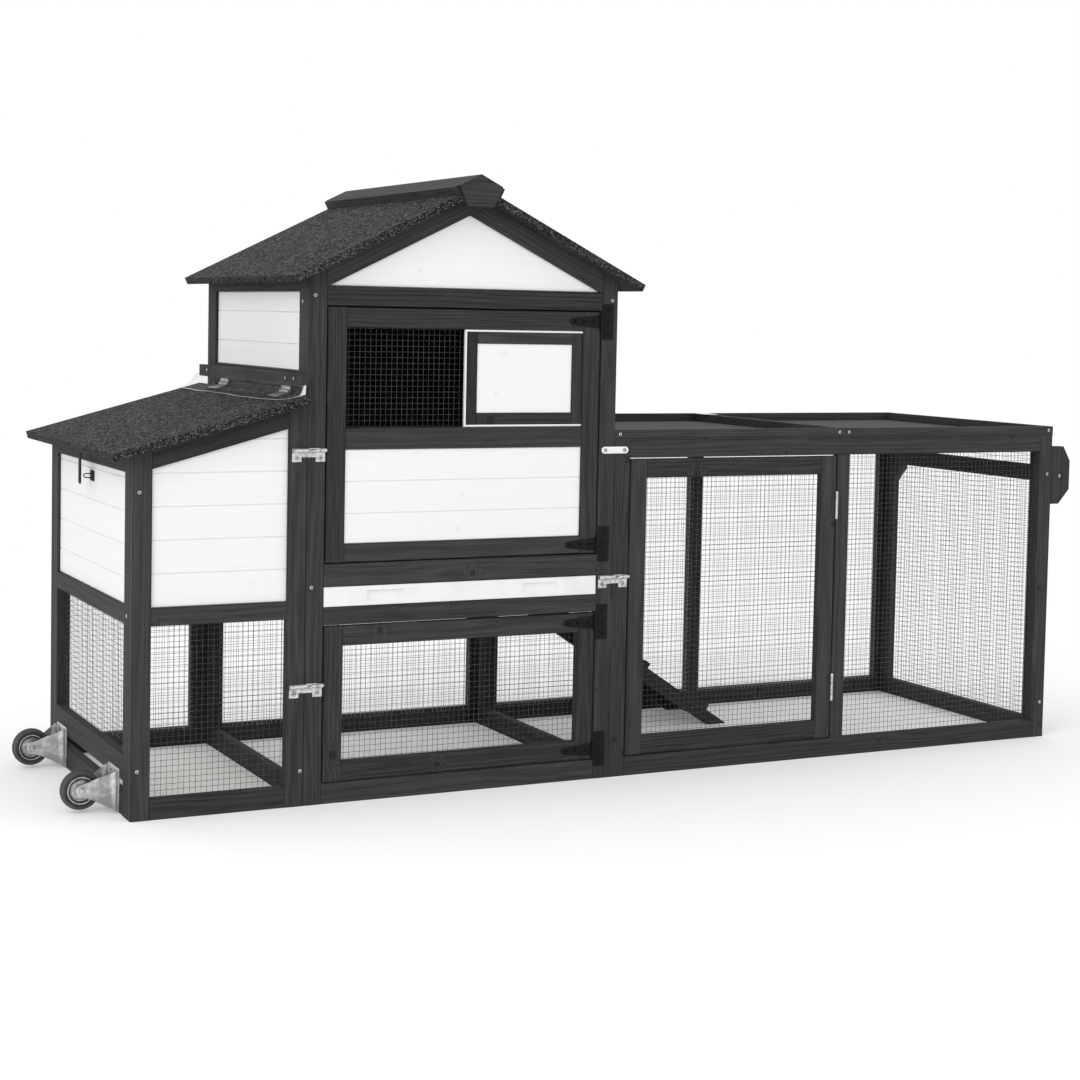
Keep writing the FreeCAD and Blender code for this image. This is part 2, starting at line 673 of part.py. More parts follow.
def gable_siding():
    under = under_tower_roof(TIMBER_W)
    apex = LEFT_SLOPE.height(TOWER_MID, -ROOF_T - TIMBER_W)
    z = (DOOR_RAIL_Z[1], apex)
    front = siding("x", TOWER_BAY, z, SIDING_Y[0], 1, first=TOWER_RIDGE_Z)
    back = siding("x", TOWER_BAY, z, DEPTH - SIDING_Y[0], -1)
    return common(front + back, under)


def tower_siding():
    """Boards of the gables, back and side walls, with doorways to the nests and to the run."""
    left_x = LEFT_FRAME_X[0] + SIDING_RECESS
    right_x = RIGHT_FRAME_X[1] - SIDING_RECESS
    batten_rail_top = BATTEN_Z[0] - 8 + TIMBER_W
    upper = siding("y", INNER_Y, (batten_rail_top, SIDE_TOP_Z), left_x, 1, first=BOARD_PITCH * 0.8)
    nest_wall = siding("y", INNER_Y, (NEST_FLOOR_TOP, BATTEN_Z[0] - 8), left_x, 1)
    doorways = [block(LEFT_FRAME_X, sorted((y0, y1)), NEST_DOORWAY_Z)
                for y0, y1 in (NEST_DOORWAY, [DEPTH - y for y in NEST_DOORWAY])]
    right = siding("y", INNER_Y, (LOWER_RAIL_Z[1], SIDE_TOP_Z), right_x, -1)
    pop_doorway = block(RIGHT_FRAME_X, POP_DOORWAY_Y, POP_DOORWAY_Z)
    back = siding("x", TOWER_BAY, (LOWER_RAIL_Z[1], DOOR_RAIL_Z[0]), DEPTH - SIDING_Y[0], -1)
    return upper + cut(nest_wall, doorways) + cut(right, [pop_doorway]) + back + gable_siding()


RUNNER_W = TIMBER_W
RUNNER_LIP_H = 28.0


def tray_runners():
    """A ledge along each side that carries the tray, with a guide batten on it."""
    top = LOWER_RAIL_TOP
    y = (TIMBER_T, BACK)
    runners = []
    for wall, side, guide in ((LEFT_FRAME_X[1], 1, TOWER_BAY[0]), (RIGHT_FRAME_X[0], -1, TOWER_BAY[1])):
        runners.append(block(sorted((wall, wall + side * RUNNER_W)), y, (top - TIMBER_T, top)))
        runners.append(block(sorted((wall, guide)), y, (top, top + RUNNER_LIP_H)))
    return runners


ROOST_OFFSETS = (-80.0, 140.0)
ROOST_Y = tuple(DEPTH / 2 + offset for offset in ROOST_OFFSETS)
ROOST_Z = (770.0, 800.0)
ROOST_W = 40.0
CLEAT_T = 16.0
CLEAT_RIM = 14.0


def roosts():
    """Rounded bars from wall to wall, dropped into notched cleats."""
    x = (LEFT_FRAME_X[0] + SIDING_RECESS + SIDING_T, RIGHT_FRAME_X[1] - SIDING_RECESS - SIDING_T)
    bars = [stick(x, (y - ROOST_W / 2, y + ROOST_W / 2), ROOST_Z, ease=6.0) for y in ROOST_Y]
    return bars + roost_cleats()


def roost_cleats():
    x0 = LEFT_FRAME_X[0] + SIDING_RECESS + SIDING_T
    x1 = RIGHT_FRAME_X[1] - SIDING_RECESS - SIDING_T
    cleats = []
    for y in ROOST_Y:
        half = ROOST_W / 2 + SLIDE_GAP
        rim = half + CLEAT_RIM
        low, seat, top = ROOST_Z[0] - CLEAT_RIM, *ROOST_Z
        outline = [(y - rim, low), (y + rim, low), (y + rim, top), (y + half, top), (y + half, seat),
                   (y - half, seat), (y - half, top), (y - rim, top)]
        for span in ((x0, x0 + CLEAT_T), (x1 - CLEAT_T, x1)):
            cleats.append(prism(outline, "x", span))
    return cleats


POP_GUIDE_X = (RIGHT_FRAME_X[0] - POP_GUIDE_W, RIGHT_FRAME_X[0])
POP_DOOR_X = (POP_GUIDE_X[0] + 3.0, POP_GUIDE_X[0] + 3.0 + POP_DOOR_T)
POP_DOOR_Z = (POP_DOORWAY_Z[0] - POP_DOOR_LAP, POP_DOORWAY_Z[1] + POP_DOOR_LAP)
POP_TRAVEL = POP_DOORWAY_Y[1] - POP_DOORWAY_Y[0] + POP_DOOR_LAP + 2.0
POP_DOOR_Y = (POP_DOORWAY_Y[0] - POP_DOOR_LAP - POP_TRAVEL, POP_DOORWAY_Y[1] + POP_DOOR_LAP - POP_TRAVEL)
POP_GROOVE = POP_DOOR_LAP - SLIDE_GAP
POP_GUIDE_H = 14.0


def pop_door_guides():
    """Grooved rails above and below the doorway that the pop door slides in."""
    groove_x = (POP_DOOR_X[0] - 1, POP_DOOR_X[1] + 1)
    guides = []
    for edge, side in ((POP_DOOR_Z[0] - SLIDE_GAP, -1), (POP_DOOR_Z[1] + SLIDE_GAP, 1)):
        inner = edge - side * POP_GROOVE
        outer = inner + side * POP_GUIDE_H
        body = block(POP_GUIDE_X, (TIMBER_T, BACK), sorted((inner, outer)))
        groove = block(groove_x, (TIMBER_T, BACK), sorted((inner, edge)))
        guides.extend(cut([body], [groove]))
    return guides


def pop_door():
    """Sliding board with a finger hole, standing open."""
    board = block(POP_DOOR_X, POP_DOOR_Y, POP_DOOR_Z)
    hole = cylinder((0, POP_DOOR_Y[0] + 30, sum(POP_DOOR_Z) / 2), 12, "x", POP_GUIDE_X)
    return [board.cut(hole)]


# Tower roof

TOWER_ROOF_Y = (-TOWER_VERGE, DEPTH + TOWER_VERGE)
TOWER_ROOF_S = TOWER_EAVE_REACH / math.cos(TOWER_PITCH)


def roof_half(slope, side, n, s_end, y):
    """One slope of the roof from the plane of the ridge to s_end, between two heights n."""
    tip = side * s_end
    inner = [(TOWER_MID, slope.height(TOWER_MID, height)) for height in n]
    return prism([inner[0], slope.at(tip, n[0]), slope.at(tip, n[1]), inner[1]], "y", y)


def tower_roof_boards():
    boards = []
    y = (TOWER_ROOF_Y[0] + FELT_T, TOWER_ROOF_Y[1] - FELT_T)
    n = (-ROOF_T, -FELT_T)
    length = TOWER_ROOF_S - FELT_T
    width = length / ROOF_BOARDS_PER_SLOPE
    for slope, side in ((LEFT_SLOPE, -1), (RIGHT_SLOPE, 1)):
        boards.append(roof_half(slope, side, n, width, y))
        for number in range(1, ROOF_BOARDS_PER_SLOPE):
            s = sorted((side * number * width, side * (number + 1) * width))
            boards.append(prism(slope.strip(s, n), "y", y))
    return boards


def tower_roof_felt():
    """Felt over each slope, turned down over the eave and the verges."""
    felts = []
    y_in = (TOWER_ROOF_Y[0] + FELT_T, TOWER_ROOF_Y[1] - FELT_T)
    for slope, side in ((LEFT_SLOPE, -1), (RIGHT_SLOPE, 1)):
        whole = roof_half(slope, side, (-ROOF_T, 0), TOWER_ROOF_S, TOWER_ROOF_Y)
        boards = roof_half(slope, side, (-2 * ROOF_T, -FELT_T), TOWER_ROOF_S - FELT_T, y_in)
        felts.extend(cut([whole], [boards]))
    return felts


def ridge_cap():
    reach = RIDGE_CAP_REACH / math.cos(TOWER_PITCH)
    return [roof_half(slope, side, (0, RIDGE_CAP_T), reach, TOWER_ROOF_Y)
            for slope, side in ((LEFT_SLOPE, -1), (RIGHT_SLOPE, 1))]


def ridge_end_plates():
    """Five-sided boards that close the ends of the ridge cap."""
    top = LEFT_SLOPE.height(TOWER_MID, RIDGE_CAP_T)
    shoulder = LEFT_SLOPE.height(TOWER_MID - RIDGE_CAP_REACH, RIDGE_CAP_T)
    foot = top - END_PLATE_H
    outline = [(TOWER_MID, top), (TOWER_MID - RIDGE_CAP_REACH, shoulder), (TOWER_MID - END_PLATE_FOOT, foot),
               (TOWER_MID + END_PLATE_FOOT, foot), (TOWER_MID + RIDGE_CAP_REACH, shoulder)]
    return [prism(outline, "y", y) for y in ((-PLATE_FRONT, -TOWER_VERGE),
                                             (DEPTH + TOWER_VERGE, DEPTH + PLATE_FRONT))]


# Run

BACK_POST_X = (MID_X - TIMBER_W / 2, MID_X + TIMBER_W / 2)


def run_stiles():
    z = (0, RUN_FRAME_H)
    stiles = []
    for y in ((0, TIMBER_T), (BACK, DEPTH)):
        for x in ((RUN_X, RUN_X + TIMBER_W), (RUN_BAY[1], END_X)):
            stiles.append(stick(x, y, z))
    for y in ((TIMBER_T, INNER_Y[0]), (INNER_Y[1], BACK)):
        stiles.append(stick(END_FRAME_X, y, z))
    between = (BASE_RAIL_H, RUN_RAIL_Z[0])
    stiles.append(stick(MID_POST_X, (0, TIMBER_T), between))
    stiles.append(stick(BACK_POST_X, (BACK, DEPTH), between))
    return stiles


def run_rails():
    rails = []
    bay = (RUN_X + TIMBER_W, RUN_BAY[1])
    for y in ((0, TIMBER_T), (BACK, DEPTH)):
        for z in ((0, BASE_RAIL_H), RUN_RAIL_Z):
            rails.append(stick(bay, y, z))
    for z in ((0, BASE_RAIL_H), HANDLE_RAIL_Z, RUN_RAIL_Z):
        rails.append(stick(END_FRAME_X, INNER_Y, z))
    rails.append(stick((MID_X - TIMBER_T / 2, MID_X + TIMBER_T / 2), (TIMBER_T, BACK), RUN_RAIL_Z))
    return rails + [corner_gusset()]


def corner_gusset():
    """Triangular block in the back corner under the rail that carries the handle."""
    y, z = INNER_Y[1], HANDLE_RAIL_Z[0]
    return prism([(y, z), (y - GUSSET[0], z), (y, z - GUSSET[1])], "x", END_FRAME_X)


def run_mesh():
    z = (BASE_RAIL_H, RUN_RAIL_Z[0])
    bays = ((RUN_X + TIMBER_W, BACK_POST_X[0]), (BACK_POST_X[1], RUN_BAY[1]))
    panels = wire_mesh("y", RUN_BAY, z, TIMBER_T, 1)
    for bay in bays:
        panels += wire_mesh("y", bay, z, BACK, -1)
    return panels + wire_mesh("x", INNER_Y, z, END_FRAME_X[0], -1)


def run_top_rim():
    """Battens on edge round the two deck panels, with one across between them."""
    rim = []
    for y in ((0, TIMBER_T), (BACK, DEPTH)):
        for x in ((RUN_X, MID_X), (MID_X, END_X)):
            rim.append(stick(x, y, RIM_Z))
    for x in ((RUN_X, RUN_X + TIMBER_T), (MID_X - TIMBER_T / 2, MID_X + TIMBER_T / 2), END_FRAME_X):
        rim.append(stick(x, (TIMBER_T, BACK), RIM_Z))
    return rim


def run_top_deck():
    return [block(x, (0, DEPTH), DECK_Z) for x in ((RUN_X, MID_X), (MID_X, END_X))]


def handle_cheeks():
    """Boards with cut corners that carry the lifting bar."""
    x0, x1 = END_X, END_X + CHEEK_REACH
    z0, z1 = CHEEK_Z
    bevel = (22.0, 38.0)
    shoulder = 26.0
    outline = [(x0, z0), (x0 + shoulder, z0), (x1, z0 + bevel[1]), (x1, z1 - bevel[1]),
               (x1 - bevel[0], z1), (x0, z1)]
    hole = (END_X + BAR_OFFSET, 0, BAR_Z)
    cheeks = []
    for y in ((0, CHEEK_T), (DEPTH - CHEEK_T, DEPTH)):
        cheeks.append(prism(outline, "y", y).cut(cylinder(hole, BAR_R - 4, "y", y)))
    return cheeks


def handle_bar():
    """Round bar between the cheeks, with a spigot in each."""
    centre = (END_X + BAR_OFFSET, 0, BAR_Z)
    grip = cylinder(centre, BAR_R, "y", (CHEEK_T, DEPTH - CHEEK_T))
    spigot = cylinder(centre, BAR_R - 4, "y", (2.0, DEPTH - 2.0))
    return [grip.fuse(spigot)]


LINK_DROP = 23.0
LINK_Z = RUN_FRAME_H - LINK_DROP
LINK = (71.0, 16.0, 2.0)
LINK_SCREW_INSET = 10.0


def joining_plates():
    """The round-ended plate that ties the run to the tower, and one over the deck's joint."""
    return [link_plate(), top_plate()]


def link_plate():
    half, radius = LINK[0] / 2, LINK[1] / 2
    span = (-LINK[2], 0)
    plate = block((RUN_X - half + radius, RUN_X + half - radius), span, (LINK_Z - radius, LINK_Z + radius))
    ends = [cylinder((RUN_X + side * (half - radius), 0, LINK_Z), radius, "y", span) for side in (-1, 1)]
    return plate.fuse(ends).removeSplitter()


TOP_PLATE = (36.0, 62.0, 1.6)
TOP_PLATE_INSET = 30.0


def top_plate():
    y1 = DEPTH - TOP_PLATE_INSET
    return block((MID_X - TOP_PLATE[0] / 2, MID_X + TOP_PLATE[0] / 2), (y1 - TOP_PLATE[1], y1),
                 (RIM_Z[1], RIM_Z[1] + TOP_PLATE[2]))


# Doors

UPPER_DOOR_X = (TOWER_BAY[0] + DOOR_GAP, TOWER_BAY[1] - DOOR_GAP)
UPPER_DOOR_Z = (TRAY_RAIL_Z[1] + DOOR_GAP, DOOR_RAIL_Z[0] - DOOR_GAP)
LOWER_DOOR_Z = (BASE_RAIL_H + DOOR_GAP, LOWER_RAIL_Z[0] - DOOR_GAP)
DOOR_BAY = (UPPER_DOOR_X[0] + DOOR_STILE_W, UPPER_DOOR_X[1] - DOOR_STILE_W)
RUN_LEAF_X = (RUN_DOOR_X[0] + DOOR_GAP, RUN_DOOR_X[1] - DOOR_GAP)
RUN_LEAF_Z = (BASE_RAIL_H + DOOR_GAP, RUN_RAIL_Z[0] - DOOR_GAP)
RUN_LEAF_BAY = (RUN_LEAF_X[0] + DOOR_STILE_W, RUN_LEAF_X[1] - DOOR_STILE_W)
WINDOW_Z = (DOOR_MID_TOP, UPPER_DOOR_Z[1] - DOOR_STILE_W)
DOOR_Y = (0, DOOR_T)
LOWER_WIRE_Z = (LOWER_DOOR_Z[0] + DOOR_STILE_W, LOWER_DOOR_Z[1] - DOOR_STILE_W)
RUN_WIRE_Z = (RUN_LEAF_Z[0] + DOOR_STILE_W, RUN_LEAF_Z[1] - DOOR_STILE_W)


def door_frame(x, z, bay, rails):
    """Two stiles and the rails between them."""
    stiles = [stick((x[0], bay[0]), DOOR_Y, z), stick((bay[1], x[1]), DOOR_Y, z)]
    return stiles + [stick(bay, DOOR_Y, rail) for rail in rails]


def sash_groove(edge, side):
    """Slot for the sash's tongue, cut into a rail's edge; side is +1 into the rail above."""
    y = (SASH_SETBACK + 1.0, SASH_SETBACK + 1.0 + TONGUE_T + 2.0)
    return block(DOOR_BAY, y, sorted((edge, edge + side * GROOVE_DEPTH)))


def upper_door_frame():
    rails = ((UPPER_DOOR_Z[0], UPPER_DOOR_Z[0] + DOOR_BOTTOM_H), (DOOR_MID_TOP - DOOR_MID_H, DOOR_MID_TOP),
             (WINDOW_Z[1], UPPER_DOOR_Z[1]))
    frame = door_frame(UPPER_DOOR_X, UPPER_DOOR_Z, DOOR_BAY, rails)
    return cut(frame, [sash_groove(WINDOW_Z[0], -1), sash_groove(WINDOW_Z[1], 1)])


def upper_door_panel():
    z = (UPPER_DOOR_Z[0] + DOOR_BOTTOM_H, DOOR_MID_TOP - DOOR_MID_H)
    return siding("x", DOOR_BAY, z, 4.0, 1, first=(z[1] - z[0]) - 2 * BOARD_PITCH)


def upper_door_mesh():
    return wire_mesh("y", DOOR_BAY, WINDOW_Z, DOOR_T, 1)


def lower_door_frame():
    rails = ((LOWER_DOOR_Z[0], LOWER_WIRE_Z[0]), (LOWER_WIRE_Z[1], LOWER_DOOR_Z[1]))
    return door_frame(UPPER_DOOR_X, LOWER_DOOR_Z, DOOR_BAY, rails)


def lower_door_mesh():
    return wire_mesh("y", DOOR_BAY, LOWER_WIRE_Z, DOOR_T, 1)


def run_door_frame():
    rails = ((RUN_LEAF_Z[0], RUN_WIRE_Z[0]), (RUN_WIRE_Z[1], RUN_LEAF_Z[1]))
    return door_frame(RUN_LEAF_X, RUN_LEAF_Z, RUN_LEAF_BAY, rails)


def run_door_mesh():
    return wire_mesh("y", RUN_LEAF_BAY, RUN_WIRE_Z, DOOR_T, 1)


# Window sash

SASH_X = (DOOR_BAY[1] - SASH_W, DOOR_BAY[1] - SLIDE_GAP)
SASH_Z = (WINDOW_Z[0] + 1.0, WINDOW_Z[1] - 1.0)
SASH_Y = (SASH_SETBACK, SASH_SETBACK + SASH_T)
SASH_TRAVEL = SASH_X[0] - DOOR_BAY[0] - 1.0
SASH_INNER_X = (SASH_X[0] + TRIM_W, SASH_X[1])
SASH_INNER_Z = (SASH_Z[0] + TRIM_W, SASH_Z[1] - TRIM_W)
SASH_OPEN_X = (SASH_INNER_X[0] + SASH_STILE_W, SASH_INNER_X[1] - SASH_STILE_W)
SASH_OPEN_Z = (SASH_INNER_Z[0] + SASH_STILE_W, SASH_INNER_Z[1] - SASH_STILE_W)


def sash_trim():
    """White channel round the sash, with the tongues that run in the door's grooves."""
    outer = rectangle(SASH_X, SASH_Z)
    inner = rectangle((SASH_INNER_X[0], SASH_X[1] + TRIM_W), SASH_INNER_Z)
    channel = prism(outer, "y", SASH_Y).cut(prism(inner, "y", SASH_Y))
    tongue_y = (SASH_SETBACK + 2.0, SASH_SETBACK + 2.0 + TONGUE_T)
    tongues = [block(SASH_X, tongue_y, z) for z in ((SASH_Z[0] - TONGUE_H, SASH_Z[0]),
                                                    (SASH_Z[1], SASH_Z[1] + TONGUE_H))]
    return [channel.fuse(tongues).removeSplitter()]


def sash_frame():
    members = [stick((SASH_INNER_X[0], SASH_OPEN_X[0]), SASH_Y, SASH_INNER_Z),
               stick((SASH_OPEN_X[1], SASH_INNER_X[1]), SASH_Y, SASH_INNER_Z)]
    for z in ((SASH_INNER_Z[0], SASH_OPEN_Z[0]), (SASH_OPEN_Z[1], SASH_INNER_Z[1])):
        members.append(stick(SASH_OPEN_X, SASH_Y, z))
    return members


def sash_panel():
    return [block(SASH_OPEN_X, (SASH_Y[0] + 3.0, SASH_Y[1] - 1.0), SASH_OPEN_Z)]


# Tray

TRAY_X = (TOWER_BAY[0] + 1.0, TOWER_BAY[1] - 1.0)
TRAY_Z = (LOWER_RAIL_TOP + SLIDE_GAP, TRAY_RAIL_Z[0] - 1.0)
TRAY_FRONT_T = 14.0
TRAY_WALL = 2.0
TRAY_SIDE_H = 34.0
TRAY_END_GAP = 10.0
TRAY_BACK = BACK - TRAY_END_GAP
HOLD = (88.0, 22.0)
HOLD_INSET = 145.0
HOLD_DEPTH = 5.0


def tray_front():
    """White front board with two moulded hand-holds, each open at the bottom."""
    front = stick(TRAY_X, (0, TRAY_FRONT_T), TRAY_Z)
    mid = sum(TRAY_Z) / 2
    pockets = []
    for x in (TRAY_X[0] + HOLD_INSET, TRAY_X[1] - HOLD_INSET):
        pockets.append(block((x - HOLD[0] / 2, x + HOLD[0] / 2), (0, HOLD_DEPTH),
                             (mid - HOLD[1] / 2, mid + HOLD[1] / 2)))
    return cut([front], pockets)


def tray_pan():
    z = (TRAY_Z[0], TRAY_Z[0] + TRAY_SIDE_H)
    whole = block(TRAY_X, (TRAY_FRONT_T, TRAY_BACK), z)
    inside = block((TRAY_X[0] + TRAY_WALL, TRAY_X[1] - TRAY_WALL),
                   (TRAY_FRONT_T + TRAY_WALL, TRAY_BACK - TRAY_WALL), (z[0] + TRAY_WALL, z[1]))
    return [whole.cut(inside)]


# Door hinges

TEE_AXIS = (TOWER_BAY[1] - DOOR_GAP / 2, -KNUCKLE_R)
UPPER_TEE_Z = (UPPER_DOOR_Z[0] + DOOR_BOTTOM_H / 2, UPPER_DOOR_Z[1] - DOOR_STILE_W / 2)
LOWER_TEE_Z = (LOWER_DOOR_Z[0] + DOOR_STILE_W / 2, LOWER_DOOR_Z[1] - DOOR_STILE_W / 2)
BUTT_AXIS = (RUN_DOOR_X[1] - DOOR_GAP / 2, -KNUCKLE_R)
BUTT_INSETS = (126.0, 122.0)
BUTT_Z = (RUN_LEAF_Z[0] + BUTT_INSETS[0], RUN_LEAF_Z[1] - BUTT_INSETS[1])


def tee_strap(z):
    """The door's side of a T-hinge: a tapering strap with a rounded tip."""
    length, root, tip = TEE_STRAP
    x0 = TEE_AXIS[0] - KNUCKLE_R - KNUCKLE_GAP
    x1 = x0 - length + tip / 2
    y = (-LEAF_T, 0)
    plate = prism([(x0, z - root / 2), (x0, z + root / 2), (x1, z + tip / 2), (x1, z - tip / 2)], "y", y)
    plate = plate.fuse(cylinder((x1, 0, z), tip / 2, "y", y))
    web = rectangle((x0 - 1, TEE_AXIS[0]), y)
    return hinge_side((*TEE_AXIS, z), "z", TEE_BARREL, 3, True, plate, web)


def tee_leaf(z):
    """The stile's side of a T-hinge, and its pin."""
    x0 = TEE_AXIS[0] + KNUCKLE_R + KNUCKLE_GAP
    y = (-LEAF_T, 0)
    plate = block((x0, x0 + TEE_LEAF[0]), y, (z - TEE_LEAF[1] / 2, z + TEE_LEAF[1] / 2))
    web = rectangle((TEE_AXIS[0], x0 + 1), y)
    centre = (*TEE_AXIS, z)
    return [hinge_side(centre, "z", TEE_BARREL, 3, False, plate, web), pin(centre, "z", TEE_BARREL)]


def upper_door_straps():
    return [piece for z in UPPER_TEE_Z for piece in (tee_strap(z), *strap_screws(z))]


def lower_door_straps():
    return [piece for z in LOWER_TEE_Z for piece in (tee_strap(z), *strap_screws(z))]


def steel_hinge_leaves():
    """Fixed leaves and pins of the run door's, the nest roof's and the ramp's hinges."""
    return butt_hinge_leaves() + roof_hinge_leaves() + ramp_hinge_plates()


def tee_hinge_leaves():
    return [piece for z in (*UPPER_TEE_Z, *LOWER_TEE_Z) for piece in tee_leaf(z)]


def butt_side(z, moving):
    """One leaf of a butt hinge in the gap beside the run door."""
    start = RUN_LEAF_X[1] if moving else RUN_DOOR_X[1] - BUTT_LEAF_T
    x = (start, start + BUTT_LEAF_T)
    plate = block(x, (KNUCKLE_GAP, BUTT_LEAF_D), (z - BUTT_LENGTH / 2, z + BUTT_LENGTH / 2))
    web = rectangle(x, (-KNUCKLE_R, KNUCKLE_GAP + 1))
    return hinge_side((*BUTT_AXIS, z), "z", BUTT_LENGTH, 5, moving, plate, web)


def run_door_leaves():
    return [butt_side(z, True) for z in BUTT_Z]


def butt_hinge_leaves():
    pieces = []
    for z in BUTT_Z:
        pieces.append(butt_side(z, False))
        pieces.append(pin((*BUTT_AXIS, z), "z", BUTT_LENGTH))
    return pieces


# Barrel bolts: (left end of the plate, height of the rod's axis, rod tip when drawn)

BOLT_SETBACK = 1.5
BOLT_LIFTS = (247.0, 216.0, 426.0)
BOLT_WALL = ROD_R + ROD_CLEARANCE + BOLT_PLATE_T
UPPER_BOLT = (TOWER_BAY[0] - 1 - BOLT_LENGTH, UPPER_DOOR_Z[0] + BOLT_LIFTS[0], UPPER_DOOR_X[0] - BOLT_SETBACK)
LOWER_BOLT = (UPPER_BOLT[0], LOWER_DOOR_Z[0] + BOLT_LIFTS[1], UPPER_BOLT[2])
RUN_BOLT = (RUN_DOOR_X[0] - 3 - BOLT_LENGTH, RUN_LEAF_Z[0] + BOLT_LIFTS[2], RUN_LEAF_X[0] - BOLT_SETBACK)
BOLTS = (UPPER_BOLT, LOWER_BOLT, RUN_BOLT)


def bolt_plate(bolt):
    """Plate on two feet, with two sleeves along its top edge that the rod slides in."""
    x0, z, _ = bolt
    x1 = x0 + BOLT_LENGTH
    width, drop = BOLT_FOOT
    top = z + BOLT_WALL
    bar = top - BOLT_BAR_H
    foot = bar - drop
    outline = [(x0, top), (x0, foot), (x0 + width, foot), (x0 + width, bar), (x1 - width, bar),
               (x1 - width, foot), (x1, foot), (x1, top)]
    plate = prism(outline, "y", (-BOLT_PLATE_T, 0))
    sleeves = []
    for span in ((x0, x0 + BOLT_SLEEVES[0]), (x1 - BOLT_SLEEVES[1], x1)):
        sleeves.append(cylinder((0, ROD_AXIS_Y, z), BOLT_WALL, "x", span))
        sleeves.append(block(span, (ROD_AXIS_Y, 0), (z - BOLT_WALL, z + BOLT_WALL)))
    bore = cylinder((0, ROD_AXIS_Y, z), ROD_R + ROD_CLEARANCE, "x", (x0 - 1, x1 + 1))
    return plate.fuse(sleeves).cut(bore).removeSplitter()


def bolt_plates():
    return [bolt_plate(bolt) for bolt in BOLTS]


def bolt_rod(bolt):
    """Sliding rod with its knob in the gap between the sleeves."""
    x0, z, tip = bolt
    rod = cylinder((0, ROD_AXIS_Y, z), ROD_R, "x", (tip - ROD_LENGTH, tip - 1.0))
    nose = Part.makeCone(ROD_R, ROD_R - 1.0, 1.0, V(tip - 1.0, ROD_AXIS_Y, z), V(1, 0, 0))
    knob_x = x0 + BOLT_SLEEVES[0] + KNOB_INSET
    knob_y = ROD_AXIS_Y - KNOB_REACH
    knob = cylinder((knob_x, 0, z), KNOB_R, "y", (knob_y, ROD_AXIS_Y))
    ball = Part.makeSphere(KNOB_BALL_R, V(knob_x, knob_y, z))
    return [rod.fuse([nose, knob, ball])]


def upper_bolt_rod():
    return bolt_rod(UPPER_BOLT)


def lower_bolt_rod():
    return bolt_rod(LOWER_BOLT)


def run_bolt_rod():
    return bolt_rod(RUN_BOLT)


# Castors

CASTOR_YS = (CASTOR_INSET, DEPTH - CASTOR_INSET)
AXLE_X = -AXLE_REACH


def smooth_step(t):
    """0 to 1 with level ends, held at them outside."""
    return (1 - math.cos(math.pi * min(max(t, 0.0), 1.0))) / 2


def fork_half_width(x):
    """Middle to outer face of a leg, x away from the board: as wide as the plate, then drawn in."""
    wide, narrow = CASTOR_PLATE[0] / 2, FORK_INNER / 2 + FORK_T
    return wide - (wide - narrow) * smooth_step((x - FORK_FLANGE) / (FORK_WAIST - FORK_FLANGE))


def fork_profile():
    """Side view of a leg: as tall as the plate, hollowed towards a round eye about the axle."""
    mid = CASTOR_PLATE_FOOT + CASTOR_PLATE[1] / 2
    steps = 8
    upper = []
    for number in range(steps):
        t = number / steps
        half = FORK_EYE + (CASTOR_PLATE[1] / 2 - FORK_EYE) * (1 - t) ** 1.25
        upper.append((AXLE_X * t, mid + (AXLE_Z - mid) * t + half))
    turns = [math.pi / 2 + math.pi * number / steps for number in range(steps + 1)]
    eye = [(AXLE_X + FORK_EYE * math.cos(turn), AXLE_Z + FORK_EYE * math.sin(turn)) for turn in turns]
    lower = [(x, 2 * (mid + (AXLE_Z - mid) * x / AXLE_X) - z) for x, z in upper[::-1]]
    return upper + eye + lower


def castor_plate(y):
    """Base plate with four slots; the slots lie across, so that the castor can be squared up."""
    height = CASTOR_PLATE_FOOT + CASTOR_PLATE[1] / 2
    span = (-CASTOR_PLATE_T, 0)
    slots = [rectangle((slot_y - CASTOR_SLOT[0] / 2, slot_y + CASTOR_SLOT[0] / 2),
                       (slot_z - CASTOR_SLOT[1] / 2, slot_z + CASTOR_SLOT[1] / 2))
             for slot_y, slot_z in castor_slots(y)]
    outline = rectangle((y - CASTOR_PLATE[0] / 2, y + CASTOR_PLATE[0] / 2),
                        (height - CASTOR_PLATE[1] / 2, height + CASTOR_PLATE[1] / 2))
    return prism(outline, "x", span, slots)


def castor_slots(y):
    """Centres (y, z) of the slots in the base plate of the castor at y."""
    height = CASTOR_PLATE_FOOT + CASTOR_PLATE[1] / 2
    across, up = CASTOR_SLOT_PLACES
    return [(y + side * across, height + level * up) for side in (-1, 1) for level in (-1, 1)]


def castor_leg(y, side):
    """Pressed leg that leaves the plate's edge and draws in beside the wheel."""
    tip = AXLE_REACH + FORK_EYE
    steps = 14
    places = [tip * number / steps for number in range(steps + 1)]
    outer = [(-x, y + side * fork_half_width(x)) for x in places]
    inner = [(-x, y + side * (fork_half_width(x) - FORK_T)) for x in places]
    wall = prism(outer + inner[::-1], "z", (0, CASTOR_PLATE_FOOT * 2 + CASTOR_PLATE[1]))
    return wall.common(prism(fork_profile(), "y", (y - CASTOR_PLATE[0], y + CASTOR_PLATE[0])))


def castor_forks():
    """Base plates on the castor board with two legs each, and their axle bolts."""
    pieces = []
    for y in CASTOR_YS:
        shape = castor_plate(y).fuse([castor_leg(y, side) for side in (-1, 1)])
        reach = FORK_INNER / 2 + FORK_T + 8
        bore = cylinder((AXLE_X, 0, AXLE_Z), AXLE_R, "y", (y - reach, y + reach))
        pieces.append(shape.cut(bore).removeSplitter())
        pieces.append(axle_bolt(y))
    return pieces


